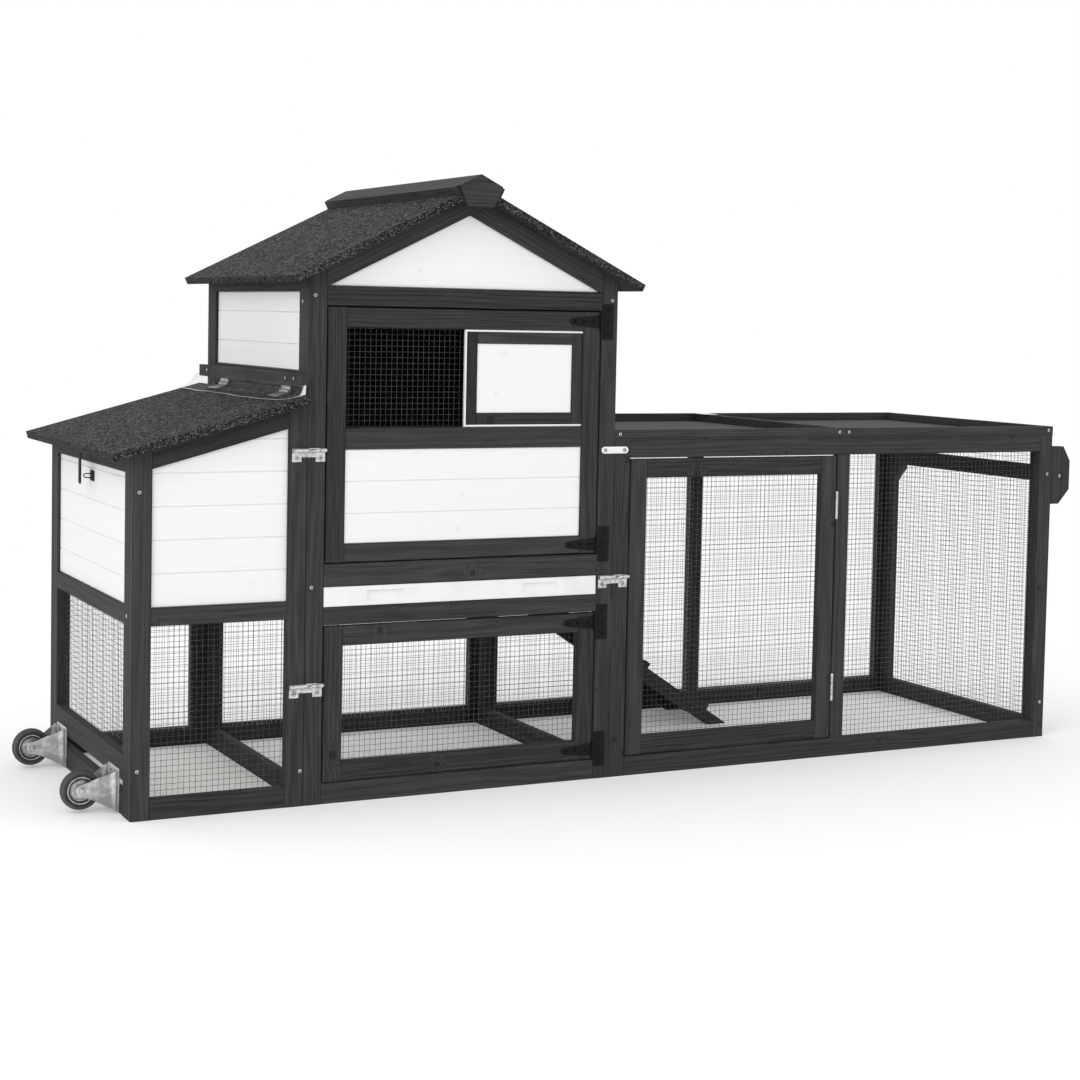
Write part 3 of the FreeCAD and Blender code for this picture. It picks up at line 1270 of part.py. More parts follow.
def axle_bolt(y):
    outer = FORK_INNER / 2 + FORK_T
    shank = cylinder((AXLE_X, 0, AXLE_Z), AXLE_R, "y", (y - outer - 4, y + outer + 4))
    heads = [hexagon_head(AXLE_X, AXLE_Z, span)
             for span in ((y - outer - 5, y - outer), (y + outer, y + outer + 5))]
    return shank.fuse(heads).removeSplitter()


def hexagon_head(x, z, span):
    radius = AXLE_R * 1.75
    outline = [(x + radius * math.cos(math.radians(60 * i)), z + radius * math.sin(math.radians(60 * i)))
               for i in range(6)]
    return prism(outline, "y", span)


def revolve_wheel(profile, y):
    """A solid of (distance from the axle, offset along it) points, turned round the axle."""
    ring = [V(AXLE_X + radius, y + offset, AXLE_Z) for radius, offset in profile]
    face = Part.Face(Part.makePolygon(ring + ring[:1]))
    return face.revolve(V(AXLE_X, y, AXLE_Z), V(0, 1, 0), 360)


def tyre(y):
    half, crown = TYRE_W / 2, 5.0
    profile = [(RIM_R, -half), (TYRE_R - crown, -half), (TYRE_R - 1.2, -half + crown * 0.8), (TYRE_R, 0),
               (TYRE_R - 1.2, half - crown * 0.8), (TYRE_R - crown, half), (RIM_R, half)]
    return revolve_wheel(profile, y)


def rim(y):
    """Pressed rim: a deep flange, a thin web and a hub that runs on the axle bolt."""
    half, web, hub = TYRE_W / 2, 2.0, HUB_W / 2
    bore = AXLE_R + PIN_CLEARANCE
    flange = RIM_R - 3.0
    profile = [(bore, -hub), (HUB_R, -hub), (HUB_R, -web), (flange, -web), (flange, -half), (RIM_R, -half),
               (RIM_R, half), (flange, half), (flange, web), (HUB_R, web), (HUB_R, hub), (bore, hub)]
    return revolve_wheel(profile, y)


def front_tyre():
    return [tyre(CASTOR_YS[0])]


def front_rim():
    return [rim(CASTOR_YS[0])]


def back_tyre():
    return [tyre(CASTOR_YS[1])]


def back_rim():
    return [rim(CASTOR_YS[1])]


# Ramp

RAMP_AXIS_X = RUN_X + KNUCKLE_R + KNUCKLE_GAP
RAMP_AXIS_Z = RAMP_SLOPE.height(RAMP_AXIS_X, KNUCKLE_R)
RAMP_TOP_X = RAMP_AXIS_X + 2.0
RAMP_HINGE_W = TIMBER_T
RAMP_HINGE_YS = (RAMP_Y[0] + TIMBER_T / 2, RAMP_Y[1] - TIMBER_T / 2)
RAMP_LEAF = 24.0


def ramp():
    """Two stringers, a board let in between them and cleats across the top."""
    region = block((RAMP_TOP_X, END_X), RAMP_Y, (RAMP_LIFT, RUN_FRAME_H))
    s = (-RUN_LENGTH, STRINGER_D * 2)
    stringers = [prism(RAMP_SLOPE.strip(s, (-STRINGER_D, 0)), "y", y)
                 for y in ((RAMP_Y[0], RAMP_Y[0] + TIMBER_T), (RAMP_Y[1] - TIMBER_T, RAMP_Y[1]))]
    inner = (RAMP_Y[0] + TIMBER_T, RAMP_Y[1] - TIMBER_T)
    tread = prism(RAMP_SLOPE.strip(s, (-TREAD_T, 0)), "y", inner)
    return common(stringers + [tread], region) + ramp_cleats()


def ramp_cleats():
    top = RAMP_SLOPE.along(RAMP_TOP_X)
    cleats = []
    s = -CLEAT_SPACING / 3
    while s - CLEAT[0] > top + RAMP_LEAF + KNUCKLE_R:
        cleats.append(prism(RAMP_SLOPE.strip((s - CLEAT[0], s), (0, CLEAT[1])), "y", RAMP_Y))
        s -= CLEAT_SPACING
    return cleats


def ramp_leaves():
    """The ramp's side of its two hinges, on the stringers."""
    s_axis = RAMP_SLOPE.along(RAMP_AXIS_X, KNUCKLE_R)
    near = s_axis + KNUCKLE_R + KNUCKLE_GAP
    leaves = []
    for y in RAMP_HINGE_YS:
        span = (y - RAMP_HINGE_W / 2, y + RAMP_HINGE_W / 2)
        plate = prism(RAMP_SLOPE.strip((near, near + RAMP_LEAF), (0, LEAF_T)), "y", span)
        web = RAMP_SLOPE.strip((s_axis, near + 1), (0, LEAF_T))
        leaves.append(hinge_side((RAMP_AXIS_X, y, RAMP_AXIS_Z), "y", RAMP_HINGE_W, 3, True, plate, web))
    return leaves


def ramp_hinge_plates():
    pieces = []
    low = RAMP_AXIS_Z + KNUCKLE_R + KNUCKLE_GAP
    for y in RAMP_HINGE_YS:
        span = (y - RAMP_HINGE_W / 2, y + RAMP_HINGE_W / 2)
        plate = block((RUN_X, RUN_X + LEAF_T), span, (low, LOWER_RAIL_Z[1]))
        web = rectangle((RUN_X, RUN_X + LEAF_T), (RAMP_AXIS_Z, low + 1))
        centre = (RAMP_AXIS_X, y, RAMP_AXIS_Z)
        pieces.append(hinge_side(centre, "y", RAMP_HINGE_W, 3, False, plate, web))
        pieces.append(pin(centre, "y", RAMP_HINGE_W))
    return pieces


# Screws

FLAP_SCREW_YS = (40.0, 95.0, DEPTH - 55.0)


def frame_screws():
    """Heads on the timber, as (x, z) on the front face, and one on each cheek's end of the bar."""
    rim_z = sum(RIM_Z) / 2
    handle_z = sum(HANDLE_RAIL_Z) / 2
    door_rail_z = sum(DOOR_RAIL_Z) / 2
    foot_z = BASE_RAIL_H + FOOT_SCREW_LIFT
    places = [(SCREW_INSET, NEST_FLOOR_TOP + NEST_SCREW_LIFT), (SCREW_INSET, foot_z + SCREW_INSET),
              (TOWER_X + SCREW_INSET, door_rail_z), (TOWER_X + SCREW_INSET, TRAY_RAIL_Z[0]),
              (TOWER_X - SCREW_INSET / 2, foot_z - SCREW_INSET), (RUN_X - SCREW_INSET, door_rail_z + SCREW_R),
              (RUN_X + SCREW_INSET, rim_z), (MID_X - SCREW_INSET, rim_z), (MID_X + SCREW_INSET, rim_z),
              (END_X - SCREW_INSET, rim_z), (END_X - SCREW_INSET, handle_z), (END_X - SCREW_INSET, foot_z)]
    heads = [dome_screw((x, 0, z), "y", -1) for x, z in places]
    heads.append(dome_screw((END_X + BAR_OFFSET, 2.0, BAR_Z), "y", -1))
    corner_y = TIMBER_T + TIMBER_W / 2
    sides = [(TOWER_X, corner_y, DOOR_RAIL_Z[0] + SCREW_R * 2), (0, corner_y, sum(NEST_RAIL_Z) / 2)]
    heads += [dome_screw(place, "x", -1) for place in sides]
    batten = [(TOWER_X - BATTEN_T - FLAP_T, y, sum(BATTEN_Z) / 2 + 2) for y in FLAP_SCREW_YS]
    heads += [dome_screw(place, "x", -1) for place in batten]
    return heads + plate_screws()


def plate_screws():
    """Heads on the fixed plates: hinge leaves, link plate, castors and bolts."""
    heads = []
    leaf_x = TEE_AXIS[0] + KNUCKLE_R + KNUCKLE_GAP + TEE_LEAF[0] / 2
    for z in (*UPPER_TEE_Z, *LOWER_TEE_Z):
        for offset in (-TEE_LEAF[1] / 3, 0, TEE_LEAF[1] / 3):
            heads.append(dome_screw((leaf_x, -LEAF_T, z + offset), "y", -1))
    for x in (RUN_X - LINK[0] / 2 + LINK_SCREW_INSET, RUN_X + LINK[0] / 2 - LINK_SCREW_INSET):
        heads.append(dome_screw((x, -LINK[2], LINK_Z), "y", -1))
    for y in CASTOR_YS:
        heads += [dome_screw((-CASTOR_PLATE_T, *slot), "x", -1) for slot in castor_slots(y)]
    for x0, z, _ in BOLTS:
        foot_z = z + BOLT_WALL - BOLT_BAR_H - BOLT_FOOT[1] / 2 + SCREW_R
        for x in (x0 + BOLT_FOOT[0] / 2, x0 + BOLT_LENGTH - BOLT_FOOT[0] / 2):
            heads.append(dome_screw((x, -BOLT_PLATE_T, foot_z), "y", -1))
    return heads


STRAP_SCREWS = (16.0, 42.0, 66.0)


def strap_screws(z):
    x = TEE_AXIS[0] - KNUCKLE_R
    return [dome_screw((x - reach, -LEAF_T, z), "y", -1) for reach in STRAP_SCREWS]


NODES = [
    nest_stiles, nest_rails, nest_siding, nest_floor, low_mesh,
    tower_stiles, tower_rails, tower_siding, tray_runners, roosts, pop_door_guides,
    tower_roof_boards, tower_roof_felt, ridge_cap, ridge_end_plates,
    run_stiles, run_rails, run_mesh, run_top_rim, run_top_deck,
    handle_cheeks, handle_bar, joining_plates,
    tee_hinge_leaves, steel_hinge_leaves, bolt_plates,
    flap_batten, weather_flap, hasp_staple, castor_forks, frame_screws,
    upper_door_frame, upper_door_panel, upper_door_mesh, upper_door_straps,
    sash_frame, sash_panel, sash_trim,
    tray_front, tray_pan,
    lower_door_frame, lower_door_mesh, lower_door_straps,
    run_door_frame, run_door_mesh, run_door_leaves,
    nest_roof_boards, nest_roof_felt, nest_roof_leaves, hasp_strap,
    upper_bolt_rod, lower_bolt_rod, run_bolt_rod,
    front_tyre, front_rim, back_tyre, back_rim,
    ramp, ramp_leaves, pop_door,
]


def main():
    os.makedirs("parts", exist_ok=True)
    for build in NODES:
        shape = Part.makeCompound(build())
        shape.translate(-ORIGIN)
        shape.exportStep(f"parts/{build.__name__}.step")


if __name__ == "__main__":
    main()
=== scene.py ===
"""Dresses a chicken tractor: stained timber, white boards, felt roofs, welded wire and zinc fittings.

Laid out as an add-on and run as a script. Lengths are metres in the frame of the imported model:
X runs along the tractor from the nest to the handle, Y from front to back and Z up.
"""
import json
import math

import bmesh
import bpy
import numpy as np
from mathutils import Matrix, Vector


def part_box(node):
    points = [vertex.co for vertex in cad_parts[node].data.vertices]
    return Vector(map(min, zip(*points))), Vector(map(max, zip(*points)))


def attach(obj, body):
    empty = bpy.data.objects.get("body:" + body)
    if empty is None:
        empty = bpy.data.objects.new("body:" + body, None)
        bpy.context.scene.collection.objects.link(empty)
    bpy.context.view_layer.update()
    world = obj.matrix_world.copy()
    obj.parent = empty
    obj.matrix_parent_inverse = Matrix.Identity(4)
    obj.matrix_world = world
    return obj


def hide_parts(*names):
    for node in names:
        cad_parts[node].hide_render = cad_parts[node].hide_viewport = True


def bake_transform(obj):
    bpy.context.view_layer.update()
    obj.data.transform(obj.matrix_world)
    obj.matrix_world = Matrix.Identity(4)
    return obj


bl_info = {
    "name": "Chicken tractor",
    "version": (1, 0, 0),
    "blender": (4, 5, 0),
    "location": "View3D > Sidebar > Tractor",
    "description": "Builds the visible timber, boards, felt, wire and fittings of a chicken tractor",
    "category": "Object",
}

# The frame

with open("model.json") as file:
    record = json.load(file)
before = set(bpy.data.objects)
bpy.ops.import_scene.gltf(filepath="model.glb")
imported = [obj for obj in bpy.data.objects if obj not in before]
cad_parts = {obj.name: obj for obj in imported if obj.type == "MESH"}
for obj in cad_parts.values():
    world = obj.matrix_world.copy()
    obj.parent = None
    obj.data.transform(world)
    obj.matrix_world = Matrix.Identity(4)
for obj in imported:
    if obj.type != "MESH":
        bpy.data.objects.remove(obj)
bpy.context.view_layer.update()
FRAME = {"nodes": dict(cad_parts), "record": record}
NODES = FRAME["nodes"]
RECORD = FRAME["record"]
BODY_OF = {node: body for body, nodes in RECORD["behaviour"]["bodies"].items() for node in nodes}
MM = 0.001

# Which nodes take which finish

STAINED = ("nest_stiles", "nest_rails", "tower_stiles", "tower_rails", "run_stiles", "run_rails", "run_top_rim",
           "flap_batten", "ridge_cap", "ridge_end_plates", "handle_cheeks", "handle_bar", "upper_door_frame",
           "lower_door_frame", "run_door_frame", "sash_frame", "ramp", "pop_door_guides", "run_top_deck",
           "tower_roof_boards", "nest_roof_boards")
PAINTED = ("nest_siding", "tower_siding", "upper_door_panel", "sash_panel")
BARE = ("nest_floor", "tray_runners", "roosts", "pop_door")
FELTED = ("tower_roof_felt", "nest_roof_felt")
ZINC = ("steel_hinge_leaves", "run_door_leaves", "nest_roof_leaves", "ramp_leaves", "bolt_plates", "upper_bolt_rod",
        "lower_bolt_rod", "run_bolt_rod")
BLACK = ("tee_hinge_leaves", "upper_door_straps", "lower_door_straps", "hasp_strap", "hasp_staple")
WIRED = ("low_mesh", "run_mesh", "upper_door_mesh", "lower_door_mesh", "run_door_mesh")


# Node trees, written as expressions

class Value:
    """An output socket. Arithmetic on it adds Math nodes to its tree."""

    def __init__(self, graph, socket):
        self.graph, self.socket = graph, socket

    def math(self, operation, *others):
        return self.graph.add("ShaderNodeMath", {"operation": operation}, dict(enumerate((self, *others))))["Value"]

    def __add__(self, other):
        return self.math("ADD", other)

    def __mul__(self, other):
        return self.math("MULTIPLY", other)

    def __sub__(self, other):
        return self.math("SUBTRACT", other)

    def __truediv__(self, other):
        return self.math("DIVIDE", other)

    def __rsub__(self, other):
        return self.graph.add("ShaderNodeMath", {"operation": "SUBTRACT"}, {0: other, 1: self})["Value"]

    __radd__ = __add__
    __rmul__ = __mul__

    def band(self, low, high, out=(0.0, 1.0)):
        """Runs smoothly between the two `out` values while the value goes from low to high."""
        settings = {"interpolation_type": "SMOOTHSTEP"}
        ends = {"Value": self, "From Min": low, "From Max": high, "To Min": out[0], "To Max": out[1]}
        return self.graph.add("ShaderNodeMapRange", settings, ends)["Result"]


class Outputs:
    """The outputs of a node, by name or identifier."""

    def __init__(self, graph, node):
        self.graph, self.node = graph, node

    def __getitem__(self, key):
        return Value(self.graph, find_socket(self.node.outputs, key))


def find_socket(sockets, key):
    if isinstance(key, int):
        return sockets[key]
    for socket in sockets:
        if socket.identifier == key:
            return socket
    for socket in sockets:
        if socket.name == key and socket.enabled:
            return socket
    raise KeyError(f"no socket {key}")


class Graph:
    """A node tree under construction."""

    def __init__(self, tree):
        self.tree = tree

    def add(self, kind, settings=None, inputs=None):
        """Adds a node of a type, makes its settings, then fills its sockets with values or links."""
        node = self.tree.nodes.new(kind)
        for name, setting in (settings or {}).items():
            if name == "stops":
                self.set_stops(node.color_ramp, setting)
            else:
                setattr(node, name, setting)
        for key, value in (inputs or {}).items():
            socket = find_socket(node.inputs, key)
            if isinstance(value, Value):
                self.tree.links.new(value.socket, socket)
            else:
                socket.default_value = value
        return Outputs(self, node)

    @staticmethod
    def set_stops(ramp, stops):
        while len(ramp.elements) < len(stops):
            ramp.elements.new(1.0)
        for element, (place, colour) in zip(ramp.elements, stops):
            element.position = place
            element.color = colour

    def mix(self, factor, a, b):
        """Blends two colours."""
        inputs = {"Factor_Float": factor, "A_Color": a, "B_Color": b}
        return self.add("ShaderNodeMix", {"data_type": "RGBA"}, inputs)["Result_Color"]

    def vector(self, operation, *operands):
        return self.add("ShaderNodeVectorMath", {"operation": operation}, dict(enumerate(operands)))

    def stretched(self, place, scales):
        """A position scaled along its three axes."""
        return self.vector("MULTIPLY", place, Vector(scales))["Vector"]

    def noise(self, place, scale=1.0, detail=2.0, roughness=0.5):
        inputs = {"Vector": place, "Scale": scale, "Detail": detail, "Roughness": roughness}
        return self.add("ShaderNodeTexNoise", None, inputs)["Fac"]

    def bump(self, height, distance, strength=1.0):
        inputs = {"Height": height, "Distance": distance, "Strength": strength}
        return self.add("ShaderNodeBump", None, inputs)["Normal"]


class Finish(Graph):
    """A material, its Principled shader and its output."""

    def __init__(self, name):
        self.material = bpy.data.materials.new(name)
        self.material.use_nodes = True
        super().__init__(self.material.node_tree)
        self.tree.nodes.clear()

    def object_place(self):
        return self.add("ShaderNodeTexCoord")["Object"]

    def attribute(self, name, output):
        return self.add("ShaderNodeAttribute", {"attribute_name": name}, None)[output]

    def surface(self, **inputs):
        """Principled shader, its sockets named with underscores for spaces."""
        named = {key.replace("_", " "): value for key, value in inputs.items()}
        return self.add("ShaderNodeBsdfPrincipled", None, named)["BSDF"]

    def done(self, shader):
        self.add("ShaderNodeOutputMaterial", None, {"Surface": shader})
        return self.material


def grey(level, alpha=1.0):
    return (level, level, level, alpha)


# Finishes

def wood_pattern(sheet, knots):
    """Rings, fine grain and knots of one board, from its own grain coordinates in metres.

    The board's pith lies along the line where the two coordinates across the grain are zero.
    """
    place = sheet.attribute("grain", "Vector")
    parts = sheet.add("ShaderNodeSeparateXYZ", None, {"Vector": place})
    along, wide, thin = parts["X"], parts["Y"], parts["Z"]
    cells = {"Vector": sheet.stretched(place, (3.0, 11.0, 0.0)), "Scale": 1.0, "Randomness": 0.85}
    nearest = sheet.add("ShaderNodeTexVoronoi", {"voronoi_dimensions": "2D"}, cells)
    centre = sheet.stretched(nearest["Position"], (1 / 3.0, 1 / 11.0, 0.0))
    offset = sheet.vector("SUBTRACT", centre, sheet.stretched(place, (1.0, 1.0, 0.0)))["Vector"]
    distance = sheet.vector("LENGTH", offset)["Value"]
    chance = sheet.add("ShaderNodeSeparateColor", None, {"Color": nearest["Color"]})["Red"]
    radius = (chance - (1.0 - knots)).math("MAXIMUM", 0.0) * (0.011 / max(knots, 0.01))
    spread = (distance / (radius + 0.0005)).band(0.7, 3.6, (1.0, 0.0)) * radius
    sway = sheet.noise(sheet.stretched(place, (2.2, 9.0, 9.0)), 1.0, 2.0) - 0.5
    reach = (wide * wide + thin * thin).math("SQRT") + sway * 0.02 + spread * 1.4
    rings = (reach * (2 * math.pi / 0.0062)).math("SINE") * 0.5 + 0.5
    fibre = sheet.noise(sheet.stretched(place, (9.0, 420.0, 420.0)), 1.0, 3.0, 0.6)
    knot = (distance / (radius + 0.0005)).band(0.75, 1.1, (1.0, 0.0)) * (radius.math("GREATER_THAN", 0.0015))
    return {"place": place, "along": along, "rings": rings, "fibre": fibre, "knot": knot}


def stained_timber(settings):
    """Black-brown stain that sinks deeper into the early wood, with painted shade along the eased corners, where the
    stain also rubs thin in patches.
    """
    sheet = Finish("stained timber")
    wood = wood_pattern(sheet, settings.knots)
    tone = sheet.attribute("tone", "Fac")
    worn = sheet.attribute("worn", "Fac")
    cloud = sheet.noise(sheet.stretched(wood["place"], (7.0, 30.0, 30.0)), 1.0, 3.0, 0.6)
    scuffs = sheet.noise(sheet.stretched(wood["place"], (60.0, 260.0, 260.0)), 1.0, 4.0, 0.7).band(0.66, 0.78)
    light = wood["rings"] * 0.3 + wood["fibre"].band(0.3, 0.7) * 0.44 + cloud * 0.34 + tone * 0.34 - 0.22
    deep, pale = settings.stain, settings.stain_pale
    colour = sheet.mix(light, (*deep, 1.0), (*pale, 1.0))
    colour = sheet.mix(wood["knot"] * 0.75, colour, grey(0.008))
    # painted shade: every eased corner is darkened, standing for the shadow line in the gaps between sticks
    colour = sheet.mix(worn * 0.6, colour, grey(0.006))
    # wear: the stain rubbed thin in patches on the corners, and scattered scuffs
    rub = worn * cloud.band(0.52, 0.68) * 0.4 + scuffs * 0.22
    colour = sheet.mix(rub, colour, (*settings.stain_worn, 1.0))
    height = wood["rings"] * 0.4 + wood["fibre"] * 0.8 - wood["knot"] * 0.3
    normal = sheet.bump(height, settings.grain_depth)
    roughness = 0.62 + wood["fibre"] * 0.14 - wood["knot"] * 0.1
    return sheet.done(sheet.surface(Base_Color=colour, Roughness=roughness, Normal=normal, Specular_IOR_Level=0.22))


def white_paint(settings):
    """White satin paint through which the board's grain and knots just show."""
    sheet = Finish("white boards")
    wood = wood_pattern(sheet, 0.3)
    tone = sheet.attribute("tone", "Fac")
    worn = sheet.attribute("worn", "Fac")
    shade = wood["rings"] * 0.06 + wood["fibre"].band(0.35, 0.75) * 0.1 + wood["knot"] * 0.22 + tone * 0.08
    colour = sheet.mix(shade, (*settings.paint, 1.0), (*settings.paint_grain, 1.0))
    # painted shade: the eased corners and the grooves between boards take the grey seam tone
    colour = sheet.mix(worn * 0.5, colour, (*settings.seam_shade, 1.0))
    normal = sheet.bump(wood["rings"] * 0.5 + wood["fibre"] * 0.5, settings.grain_depth * 0.5)
    roughness = 0.5 + wood["fibre"] * 0.12
    return sheet.done(sheet.surface(Base_Color=colour, Roughness=roughness, Normal=normal))


def bare_board(settings):
    """Unpainted spruce."""
    sheet = Finish("plain wood board")
    wood = wood_pattern(sheet, 0.35)
    tone = sheet.attribute("tone", "Fac")
    light = wood["rings"] * 0.5 + wood["fibre"] * 0.3 + tone * 0.2
    colour = sheet.mix(light, (*settings.board, 1.0), (*settings.board_pale, 1.0))
    colour = sheet.mix(wood["knot"] * 0.8, colour, (0.12, 0.06, 0.025, 1.0))
    normal = sheet.bump(wood["rings"] * 0.5 + wood["fibre"] * 0.6, settings.grain_depth)
    return sheet.done(sheet.surface(Base_Color=colour, Roughness=0.7, Normal=normal))


def roofing_felt(settings):
    """Bitumen felt under a coat of crushed slate: dark ground, scattered pale grains.

    Grains lie singly where the sheet is folded down and in larger clumps on top, where the felt is also painted
    lighter: painted light on the faces that look up.
    """
    sheet = Finish("felt")
    place = sheet.object_place()
    level = sheet.attribute("level", "Fac")
    single = sheet.add("ShaderNodeTexVoronoi", None, {"Vector": place, "Scale": 1.0 / settings.granule})
    rolled = {"Vector": sheet.stretched(place, (1.0, 0.5, 1.0)), "Scale": 0.7 / settings.granule}
    clumped = sheet.add("ShaderNodeTexVoronoi", None, rolled)
    fine = sheet.add("ShaderNodeSeparateColor", None, {"Color": single["Color"]})
    coarse = sheet.add("ShaderNodeSeparateColor", None, {"Color": clumped["Color"]})
    drift = sheet.noise(place, 26.0, 4.0, 0.65)
    # painted light: on the top faces (level 1) the grains clump and the felt comes out lighter
    bright = fine["Red"] * (0.72 - level * 0.34) + coarse["Red"] * (0.12 + level * 0.5) + drift * 0.2
    bright = bright.band(0.42, 1.12)
    colour = sheet.mix(bright, (*settings.felt, 1.0), (*settings.felt_grain, 1.0))
    streaks = sheet.noise(place, 5.0, 3.0, 0.6)
    colour = sheet.mix(streaks.band(0.42, 0.7) * 0.2, colour, (*settings.felt_worn, 1.0))
    rise = 1.0 - single["Distance"].band(0.0, 0.6)
    normal = sheet.bump(rise * fine["Green"] + bright * 0.5, settings.granule * 0.7)
    return sheet.done(sheet.surface(Base_Color=colour, Roughness=0.92, Normal=normal, Specular_IOR_Level=0.15))


def zinc_plate(name, settings, level, roughness, shade=None):
    """Bright zinc with crystal patches and rolling marks, with painted shade in its recesses.

    `shade` takes the tree and the place, and gives how much painted shade falls on the plate there.
    """
    sheet = Finish(name)
    place = sheet.object_place()
    patches = sheet.add("ShaderNodeTexVoronoi", None, {"Vector": place, "Scale": 130.0})
    parts = sheet.add("ShaderNodeSeparateColor", None, {"Color": patches["Color"]})
    cloud = sheet.noise(place, 95.0, 4.0, 0.6)
    scratch = sheet.noise(sheet.stretched(place, (40.0, 900.0, 900.0)), 1.0, 2.0)
    dull_and_shade = parts["Red"] * 0.25 + cloud.band(0.38, 0.66) * 0.55 + scratch * 0.12
    if shade:
        # painted shade from `shade` is added to the zinc's own dull patches
        dull_and_shade = (dull_and_shade * 0.45 + shade(sheet, place)).math("MINIMUM", 1.0)
    dark = tuple(value * 0.36 for value in level)
    colour = sheet.mix(dull_and_shade, (*level, 1.0), (*dark, 1.0))
    # painted shade: faces marked deep, the screws' recesses and foot rings and the rims' grooves and dips, go near
    # black
    colour = sheet.mix(sheet.attribute("deep", "Fac") * 0.9, colour, grey(0.02))
    # painted light: wires marked pale, those of the back panels, are painted a lighter grey
    colour = sheet.mix(sheet.attribute("pale", "Fac") * 0.6, colour, grey(0.6))
    rough = roughness + cloud * 0.16 + scratch * 0.08
    normal = sheet.bump(scratch * 0.4 + cloud, 0.00012)
    return sheet.done(sheet.surface(Base_Color=colour, Metallic=settings.metallic, Roughness=rough, Normal=normal))


def fork_shade(sheet, place):
    """Painted shade on the castor forks beside their fold and along their lower flare, with a little random tone."""
    parts = sheet.add("ShaderNodeSeparateXYZ", None, {"Vector": place})
    low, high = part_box("castor_forks")
    out = high.x - parts["X"]
    beside = out.band(0.0034, 0.0042) * out.band(0.006, 0.01, (1.0, 0.0)) * 0.8
    fold = beside + out.band(0.014, 0.022) * out.band(0.03, 0.062, (1.0, 0.3)) * 0.6
    flare = parts["Z"].band(low.z + 0.018, low.z + 0.034, (0.45, 0.0))
    drift = sheet.noise(sheet.stretched(place, (30.0, 30.0, 55.0)), 1.0, 3.0).band(0.35, 0.65) * 0.3
    return fold + flare + drift


def black_paint(settings):
    """Black baked paint, rubbed a little where it is handled, with blacker screw heads."""
    sheet = Finish("black steel")
    place = sheet.object_place()
    skin = sheet.noise(place, 700.0, 2.0)
    cloud = sheet.noise(place, 35.0, 4.0, 0.65)
    rub = cloud.band(0.62, 0.78) * 0.2
    colour = sheet.mix(rub, (*settings.black, 1.0), grey(0.06))
    # painted shade in the screw heads' recesses and round their feet; small heads on the black fittings are darkened
    # whole
    colour = sheet.mix(sheet.attribute("deep", "Fac"), colour, grey(0.0015))
    rough = 0.5 + cloud * 0.2
    normal = sheet.bump(skin, 0.00008)
    return sheet.done(sheet.surface(Base_Color=colour, Roughness=rough, Normal=normal, Specular_IOR_Level=0.12))


def white_enamel(name, colour):
    """Smooth white skin of the tray and the joining plate."""
    sheet = Finish(name)
    place = sheet.object_place()
    cloud = sheet.noise(place, 14.0, 3.0, 0.55)
    orange = sheet.noise(place, 420.0, 2.0)
    darker = tuple(value * 0.93 for value in colour)
    shade = sheet.mix(cloud.band(0.35, 0.75), (*colour, 1.0), (*darker, 1.0))
    normal = sheet.bump(orange, 0.00006)
    return sheet.done(sheet.surface(Base_Color=shade, Roughness=0.34 + cloud * 0.14, Normal=normal))


def clear_vinyl(settings):
    """Clear soft sheet: almost all light passes, and only a painted highlight along its cut edge and a few scuffs show
    pale.
    """
    sheet = Finish("clear sheet")
    place = sheet.object_place()
    ripple = sheet.noise(sheet.stretched(place, (14.0, 5.0, 14.0)), 1.0, 2.0)
    normal = sheet.bump(ripple, 0.004)
    haze = sheet.noise(place, 30.0, 3.0, 0.6)
    scuffs = sheet.noise(sheet.stretched(place, (80.0, 25.0, 80.0)), 1.0, 4.0, 0.7).band(0.6, 0.75)
    rim = sheet.attribute("rim", "Fac")
    # painted highlight: the sheet's surface is dark grey except along its cut edge, marked rim, which takes the pale
    # clear tone
    colour = sheet.mix(rim, grey(0.16), (*settings.clear, 1.0))
    gloss = sheet.surface(Base_Color=colour, Roughness=0.12, Normal=normal)
    through = sheet.add("ShaderNodeBsdfTransparent", None, {"Color": (0.95, 0.955, 0.96, 1.0)})["BSDF"]
    # the rim is also made more opaque, as part of the same painted highlight
    share = haze.band(0.3, 0.9) * 0.08 + scuffs * 0.06 + rim * 0.55 + settings.haze
    return sheet.done(sheet.add("ShaderNodeMixShader", None, {0: share, 1: through, 2: gloss})["Shader"])


def tyre_rubber(settings):
    """Grey-black rubber with dust and fine ribs round each wheel, the ribs drawn lighter as painted highlights."""
    sheet = Finish("tyre")
    place = sheet.object_place()
    axle = wheel_centres()["front_wheel"]
    spoke = sheet.vector("SUBTRACT", place, Vector((axle[0], 0.0, axle[2])))["Vector"]
    parts = sheet.add("ShaderNodeSeparateXYZ", None, {"Vector": spoke})
    turn = parts["Z"].math("ARCTAN2", parts["X"])
    reach = sheet.vector("LENGTH", sheet.stretched(spoke, (1.0, 0.0, 1.0)))["Value"]
    ribs = ((turn * 96.0).math("SINE") * 0.5 + 0.5) * reach.band(0.034, 0.037) * reach.band(0.0415, 0.0425, (1.0, 0.3))
    dust = sheet.noise(place, 60.0, 4.0, 0.65)
    # painted highlight: the sidewall ribs are painted lighter, on top of the rubber's own dust
    pale = dust.band(0.4, 0.8) * 0.3 + ribs * 0.55
    colour = sheet.mix(pale, (*settings.rubber, 1.0), (*settings.rubber_dust_and_highlight, 1.0))
    normal = sheet.bump(ribs + dust * 0.3, 0.0005)
    return sheet.done(sheet.surface(Base_Color=colour, Roughness=0.62 + dust * 0.2, Normal=normal))


FINISHES = {}


